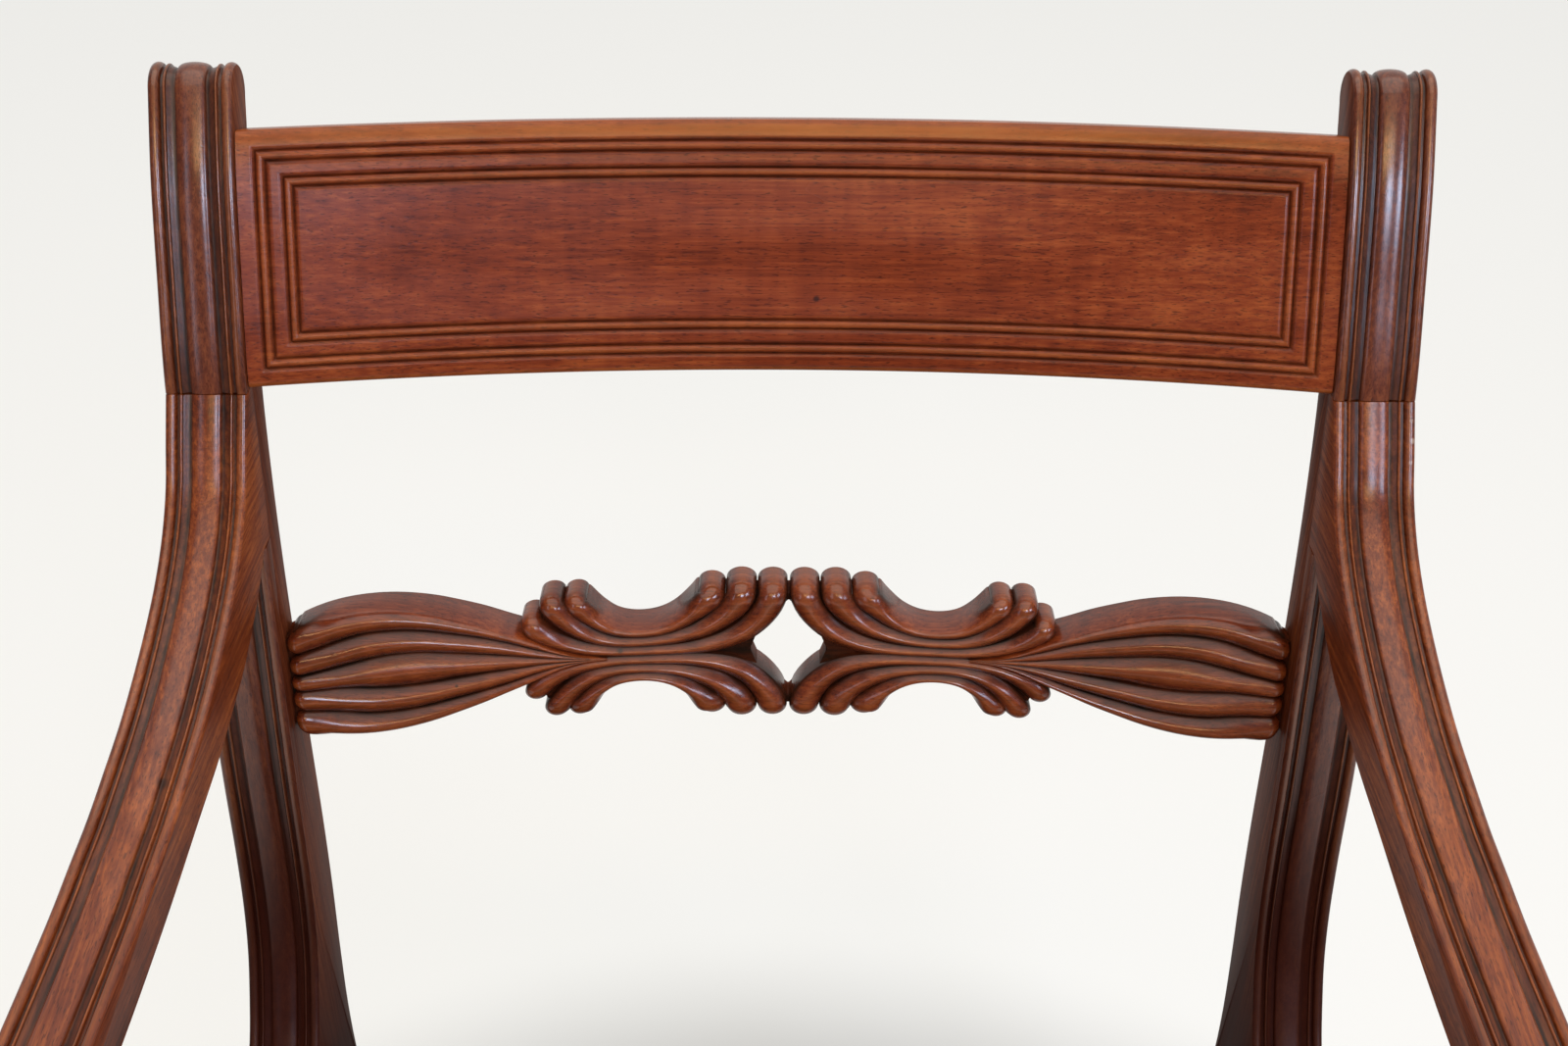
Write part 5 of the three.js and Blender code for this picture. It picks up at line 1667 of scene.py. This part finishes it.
    def swollen(self, plan: np.ndarray) -> BVHTree:
        """Swells a copy of the stuffed top as cloth that is nailed at its rim.

        Args:
            plan: The seat's outline from above.

        Returns:
            The swollen top.
        """
        rings = []
        for share in np.linspace(0.03, 1.0, 30):
            crown = self.drawn_low * self.crown_at(plan, share) * (1 - share**30)
            rings.append(self.ring(plan, share, self.pad_top + self.cover + crown))
        rings += [self.ring(plan, 1.0, up) for up in (self.pad_top - 6, self.low + 2)]
        piece = skin("swelling_top", np.array(rings))
        only(piece)
        piece.data.remesh_voxel_size = self.voxel * MM
        bpy.ops.object.voxel_remesh()
        rim = (self.pad_top + 1.0) * MM
        nailed = piece.vertex_groups.new(name="nailed")
        nailed.add([vertex.index for vertex in piece.data.vertices if vertex.co.z < rim], 1.0, "REPLACE")
        cloth = piece.modifiers.new("Cloth", "CLOTH")
        cloth.settings.vertex_group_mass = nailed.name
        cloth.settings.use_pressure = True
        cloth.settings.uniform_pressure_force = self.pressure
        cloth.settings.shrink_min = -self.slack
        cloth.settings.effector_weights.gravity = 0.0
        for frame in range(1, self.frames + 1):
            bpy.context.scene.frame_set(frame)
        bpy.ops.object.modifier_apply(modifier=cloth.name)
        vertices = [vertex.co.copy() for vertex in piece.data.vertices]
        tree = BVHTree.FromPolygons(vertices, [list(face.vertices) for face in piece.data.polygons])
        bpy.data.objects.remove(piece)
        bpy.context.scene.frame_set(1)
        return tree

    def top_ring(self, plan: np.ndarray, share: float, swollen: BVHTree | None) -> list[Point]:
        """A ring of the leather's top, from the cloth where it swelled and from the crown at its rim."""
        drawn = self.pad_top + (self.cover + FIT) + self.crown_at(plan, share) * (1 - share**30)
        if swollen is None:
            return self.ring(plan, share, drawn)
        rest = clamped((share - self.rest_from) / self.rest_over)
        above = (self.pad_top + 90) * MM
        ups = []
        for (x, y, _), height in zip(self.ring(plan, share, 0.0), drawn):
            met = swollen.ray_cast(Vector((x, y, above)), Vector((0, 0, -1)))[0]
            found = height if met is None else met.z / MM + FIT
            found = min(height + self.cap, max(height - self.cap, found))
            ups.append(found * (1 - rest) + height * rest)
        return self.ring(plan, share, np.array(ups))

    def build_leather(self, material: bpy.types.Material) -> None:
        """Stuffs and covers the seat: a tight crown whose top is simulated as cloth nailed at its rim."""
        ring = self.ring
        outer, inner, turned = self.plan(0.3), self.plan(self.cover), self.plan(self.turn_under)
        top, low, above, thick = self.pad_top, self.low, self.cover + FIT, self.low + self.cover
        swollen = self.swollen(outer)
        rim = 1 - 0.1 * (1 - np.linspace(0, 1, 14)[1:-1]) ** 1.6
        rings = [self.top_ring(outer, share, swollen) for share in (*np.linspace(0.02, 0.9, 44), *rim)]
        rings += [ring(outer, 0.9985, top + above * 0.55), ring(outer, 1.0, top - 1.0)]
        rings += [ring(outer, 1.0, up) for up in np.linspace(top - 4, low + 1.6, 6)]
        rings += [ring(outer, 0.9985, low + 0.4), ring(outer, 0.994, low)]
        rings += [ring(turned, 1.0, low), ring(turned, 0.999, thick)]
        rings += [ring(inner, 1.0, thick), ring(inner, 1.0, top + FIT / 2)]
        for share in (0.98, 0.93, 0.84, 0.7, 0.5, 0.25, 0.02):
            rings.append(ring(inner, share, top + FIT + self.crown * (1 - share**2.4) - 1.0))
        piece = skin("leather_seat", np.array(rings), smooth_degrees=60)
        dressed(piece, material, SEAT_BODY, "black_leather", "seat_cover", "seat_pad")

    def strap(
        self,
        name: str,
        ends: Pair,
        places: Sequence[float],
        over: bool,
        crossing: bool,
        at: float,
    ) -> bpy.types.Object:
        """Weaves one strap over and under those it crosses.

        Args:
            name: The piece's name.
            ends: Where it starts and stops along its length.
            places: The middles of the straps that it crosses.
            over: Whether it passes over the first of them.
            crossing: Whether it runs from side to side.
            at: Its place across its length.

        Returns:
            The piece.
        """
        wide, thick = self.webbing
        knots = [(ends[0], 0.0)]
        for i, place in enumerate(places):
            sign = 1.0 if (i % 2 == 0) == over else -1.0
            knots += [(place - wide * 0.42, sign), (place + wide * 0.42, sign)]
        knots.append((ends[1], 0.0))
        along = np.linspace(*ends, 150)
        weave = np.interp(along, *np.array(knots).T)
        weave = np.convolve(np.pad(weave, 4, mode="edge"), np.ones(9) / 9, mode="valid")
        across = np.linspace(-wide / 2, wide / 2, 13)
        half = thick / 2 - FIT / 2
        around = [(a, way) for way in (1, -1) for a in across[::way]]
        rings, cloth = [], []
        for s, w in zip(along, weave):
            ring = []
            for a, way in around:
                up = self.webbing_middle + w * self.wave + way * half * (1 - 0.5 * abs(a / (wide / 2)) ** 8)
                ring.append(self.layout.place(*((s, at + a) if crossing else (at + a, s)), up))
            rings.append(ring)
            flat = [(a * MM, s * MM) for a, _ in around]
            cloth.append([*flat, flat[0]])
        lines = np.array([float(self.stripe[0] < abs(a) < self.stripe[1]) for a, _ in around])
        return skin(name, np.array(rings), {"stripe": lines}, uv=np.array(cloth), smooth_degrees=70)

    def build_webbing(self, material: bpy.types.Material) -> None:
        """Builds and dresses the seven straps."""
        inset = self.cover + FIT
        lap = self.member * (1 - self.lap_share)
        ends = (self.rear + inset + lap, self.front - inset - lap)
        longs = [(i - 1) * self.long_pitch for i in range(3)]
        crosses = [self.middle + (i - 1.5) * self.cross_pitch for i in range(4)]
        for i, x in enumerate(longs):
            piece = self.strap(f"jute_strap_long_{i + 1}", ends, crosses, i % 2 == 0, False, x)
            dressed(piece, material, SEAT_BODY, "jute", f"webbing_long_{i + 1}")
        for i, forward in enumerate(crosses):
            half = self.half_at(forward, inset) - lap
            piece = self.strap(f"jute_strap_cross_{i + 1}", (-half, half), longs, i % 2 != 0, True, forward)
            dressed(piece, material, SEAT_BODY, "jute", f"webbing_cross_{i + 1}")

    def build_hessian(self, material: bpy.types.Material) -> None:
        """Builds and dresses the hessian over the webbing."""
        lay = self.layout
        inset = self.cover + FIT + self.corner
        rear, front = self.rear + inset, self.front - inset
        count, lift = 40, 0.06
        high, low = self.hessian_low + self.hessian - lift, self.hessian_low + lift
        rings, cloth = [], []
        for forward in np.linspace(rear, front, count):
            half = self.half_at(forward, inset)
            xs = np.linspace(-half, half, count)
            dips = 0.05 * np.sin(xs * 0.09) * math.sin(forward * 0.08)
            upper = [lay.place(x, forward, high + dip) for x, dip in zip(xs, dips)]
            lower = [lay.place(x, forward, low + dip) for x, dip in zip(xs[::-1], dips[::-1])]
            rings.append(upper + lower)
            flat = [(x * MM, forward * MM) for x in xs]
            cloth.append([*flat, *flat[::-1], flat[0]])
        piece = skin("hessian", np.array(rings), uv=np.array(cloth), smooth_degrees=70)
        dressed(piece, material, SEAT_BODY, "jute", "seat_hessian")
        wide = 2 * self.half_at(front, inset) * MM
        mean = (self.half_at(front, inset) + self.half_at(rear, inset)) * MM


@dataclass
class Studio:
    """The pale floor, the soft light and the photograph's camera."""

    layout: Layout
    focal_px: float = 2100.0
    width_px: float = 1600.0
    centre_px: float = 6.0
    pitch_degrees: float = 35.0
    roll_degrees: float = 0.35
    above: float = 309.2
    ahead: float = 680.3
    backdrop: float = 1.5
    aside: float = 0.5
    left_dim: float = 0.5
    dim: str = "757578"
    glow_share: float = 0.6
    white: str = "f6f6f4"
    floor_size: float = 14.0
    floor_white: str = "f7f7f4"
    floor_fade: Pair = (2.7, 4.6)
    shade_fade: Pair = (0.64, 0.42)
    shade_share: float = 0.75
    shade: str = "9b9a97"
    world_fade: Pair = (-0.75, 0.65)
    aim: Point = (0.0, 0.15, 0.72)
    sensor_mm: float = 36.0

    def build(self) -> None:
        """Builds the floor, the lamps, the world and the camera."""
        self.floor()
        self.lamps()
        self.world()
        self.camera()

    def floor(self) -> None:
        """A white floor with a soft shadow under the chair, which greys away ahead of it."""
        deselect()
        bpy.ops.mesh.primitive_plane_add(size=self.floor_size)
        floor = bpy.context.object
        floor.name = "studio_floor"
        material, tree = new_material("white_floor")
        place = add_node(tree, "ShaderNodeTexCoord").outputs["Object"]
        away = distance(tree, place, (self.aside, self.backdrop, 0.0))
        far = mapped(tree, away, self.floor_fade, soft=True)
        colour = ramp(tree, far, [(0.0, self.floor_white), (1.0, self.dim)])
        away = distance(tree, place, (0.0, 0.0, 0.0))
        under = mapped(tree, away, self.shade_fade, (0.0, self.shade_share), soft=True)
        colour = tinted(tree, under, colour, self.shade)
        values = {"Base Color": colour, "Roughness": 0.9, "Specular IOR Level": 0.1}
        shader = add_node(tree, "ShaderNodeBsdfPrincipled", values)
        glow = add_node(tree, "ShaderNodeEmission", {"Color": colour, "Strength": 1.0})
        rays = add_node(tree, "ShaderNodeLightPath").outputs
        seen = maths(tree, "ADD", rays["Is Camera Ray"], rays["Is Glossy Ray"])
        seen = maths(tree, "ADD", seen, rays["Is Transmission Ray"], clamp=True)
        share = maths(tree, "MULTIPLY", seen, self.glow_share)
        mixed = add_node(tree, "ShaderNodeMixShader", {0: share, 1: shader.outputs[0], 2: glow.outputs[0]})
        add_node(tree, "ShaderNodeOutputMaterial", {"Surface": mixed.outputs[0]})
        floor.data.materials.append(material)

    def lamps(self) -> None:
        """Two low windows ahead under a sunlit strip of wall, a weak one at the left and a ceiling."""
        for name, place, size, power, shade in (
            ("window_left", (-1.5, -2.0, 1.5), (0.3, 1.4), 5.0, "dde8ff"),
            ("window_middle", (0.7, -2.3, 1.82), (0.6, 0.42), 20.0, "cfe0ff"),
            ("window_right", (1.65, -1.5, 1.5), (0.6, 0.46), 17.0, "cfe0ff"),
            ("sunlit_wall", (0.2, -2.3, 2.32), (1.7, 0.24), 17.0, "ffcb8c"),
            ("ceiling", (0.0, -0.3, 3.2), (3.5, 3.5), 64.0, "fff6ea"),
        ):
            light = bpy.data.lights.new(name, "AREA")
            light.shape = "RECTANGLE"
            light.size, light.size_y = size
            light.energy = power
            light.color = linear(shade)[:3]
            lamp = bpy.data.objects.new(name, light)
            lamp.location = place
            lamp.rotation_euler = (Vector(self.aim) - lamp.location).to_track_quat("-Z", "Y").to_euler()
            bpy.context.scene.collection.objects.link(lamp)

    def world(self) -> None:
        """A studio that is white behind the chair and dim ahead of it, the same for every ray."""
        world = bpy.data.worlds.new("studio")
        bpy.context.scene.world = world
        world.use_nodes = True
        tree = world.node_tree
        tree.nodes.clear()
        place = add_node(tree, "ShaderNodeTexCoord")
        split = add_node(tree, "ShaderNodeSeparateXYZ", {0: place.outputs["Generated"]})
        left = maths(tree, "MINIMUM", split.outputs[0], 0.0)
        along = maths(tree, "MULTIPLY_ADD", left, self.left_dim, split.outputs[1])
        behind = mapped(tree, along, self.world_fade, soft=True)
        colour = ramp(tree, behind, [(0.0, self.dim), (1.0, self.white)])
        background = add_node(tree, "ShaderNodeBackground", {"Color": colour, "Strength": 1.0})
        add_node(tree, "ShaderNodeOutputWorld", {"Surface": background.outputs[0]})

    def camera(self) -> None:
        """The camera that took the photograph."""
        lay = self.layout
        data = bpy.data.cameras.new("photograph")
        data.sensor_width = self.sensor_mm
        data.lens = data.sensor_width * self.focal_px / self.width_px
        camera = bpy.data.objects.new("photograph", data)
        bpy.context.scene.collection.objects.link(camera)
        pitch = math.radians(self.pitch_degrees)
        deep = self.ahead * math.cos(pitch) + self.above * math.sin(pitch)
        aside = -self.centre_px / self.focal_px * deep
        camera.location = (aside * MM, (lay.middle - self.ahead) * MM, (lay.crest_top + self.above) * MM)
        camera.rotation_mode = "QUATERNION"
        tilt = Quaternion((1, 0, 0), math.pi / 2 - pitch)
        camera.rotation_quaternion = tilt @ Quaternion((0, 0, 1), math.radians(self.roll_degrees))
        data.clip_start, data.clip_end = 0.05, 50.0
        bpy.context.scene.camera = camera


def dress_plain_nodes(nodes: dict[str, bpy.types.Object]) -> None:
    """Gives the CAD nodes that stay their materials.

    Args:
        nodes: The CAD nodes by name.
    """
    beech, steel = PlanedBeech().material(), DullSteel().material()
    for name, node in nodes.items():
        if name.startswith(("ledger", "corner_block", "seat_frame")):
            finish_with(node, beech)
        elif name.startswith("screw"):
            finish_with(node, steel)


def main() -> None:
    """Builds the chair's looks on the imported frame."""
    logging.basicConfig(level=logging.INFO, format="%(message)s")
    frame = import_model()
    layout = Layout()
    stile_wood = FrenchPolishedMahogany(
        "mahogany_stiles",
        Grain.STILE,
        tone=("3a160b", "5c2a16", "7a4124"),
        shine=0.19,
        gloss=0.55,
        ripple_share=0.2,
        dark_foot=(640.0, 500.0),
    ).material()
    knot = (-214.8, 58.9, 667.2, 3.4, "241109")
    # Lighter spots on the left arm's chipped edge bead: real chips, with the glints of their broken edges
    # painted in.
    chip_glints = (
        (228.7, 175.5, 744.0, 1.2, "8f7563"),
        (229.4, 172.0, 737.4, 1.5, "a08875"),
        (228.8, 168.0, 730.5, 1.1, "8f7563"),
    )
    arm_wood = FrenchPolishedMahogany(
        "mahogany_arms",
        Grain.ARM,
        tone=("401708", "6b2f14", "985023"),
        gloss=0.45,
        ripple_share=0.15,
        marks=(knot, *chip_glints),
    ).material()
    spot = (9.5, 213.3, 772.6, 1.7, "1c0d08")
    rail_wood = FrenchPolishedMahogany("mahogany_rails", Grain.ACROSS, gloss=0.24, marks=(spot,)).material()
    nick = (-68.5, 190.0, 622.2, 1.7, "1c0d08")
    worm_hole = (-135.0, 181.1, 610.5, 1.0, "120806")
    carved_wood = FrenchPolishedMahogany(
        "mahogany_carving",
        Grain.ACROSS,
        tone=("4e1c0b", "712f15", "914621"),
        shine=0.17,
        gloss=0.5,
        shift=0.4,
        marks=(nick, worm_hole),
    ).material()
    arms, cross_rails = Arms(layout), CrossRails(layout)
    for side in Side:
        Stiles(layout).build(side, stile_wood)
        arms.build(side, arm_wood)
        ArmSupports(layout, arms).build(side, stile_wood)
        FrontLegs(layout).build(side, stile_wood)
        SideRails(layout).build(side, arm_wood)
    cross_rails.build(rail_wood)
    CrestRail(layout).build(rail_wood)
    MidRail(layout).build(carved_wood)
    seat = DropInSeat(layout, cross_rails)
    seat.build_leather(BlackHide().material())
    seat.build_webbing(WovenJute("jute_webbing", 1.6, ("7a6242", "c0a878"), "5a2a20").material())
    seat.build_hessian(WovenJute("hessian_cloth", 1.3, ("5f4a2e", "a0875c")).material())
    dress_plain_nodes(frame["nodes"])
    Studio(layout).build()
    bpy.context.view_layer.update()
    bpy.context.scene.view_settings.view_transform = "Standard"


if __name__ == "__main__":
    main()
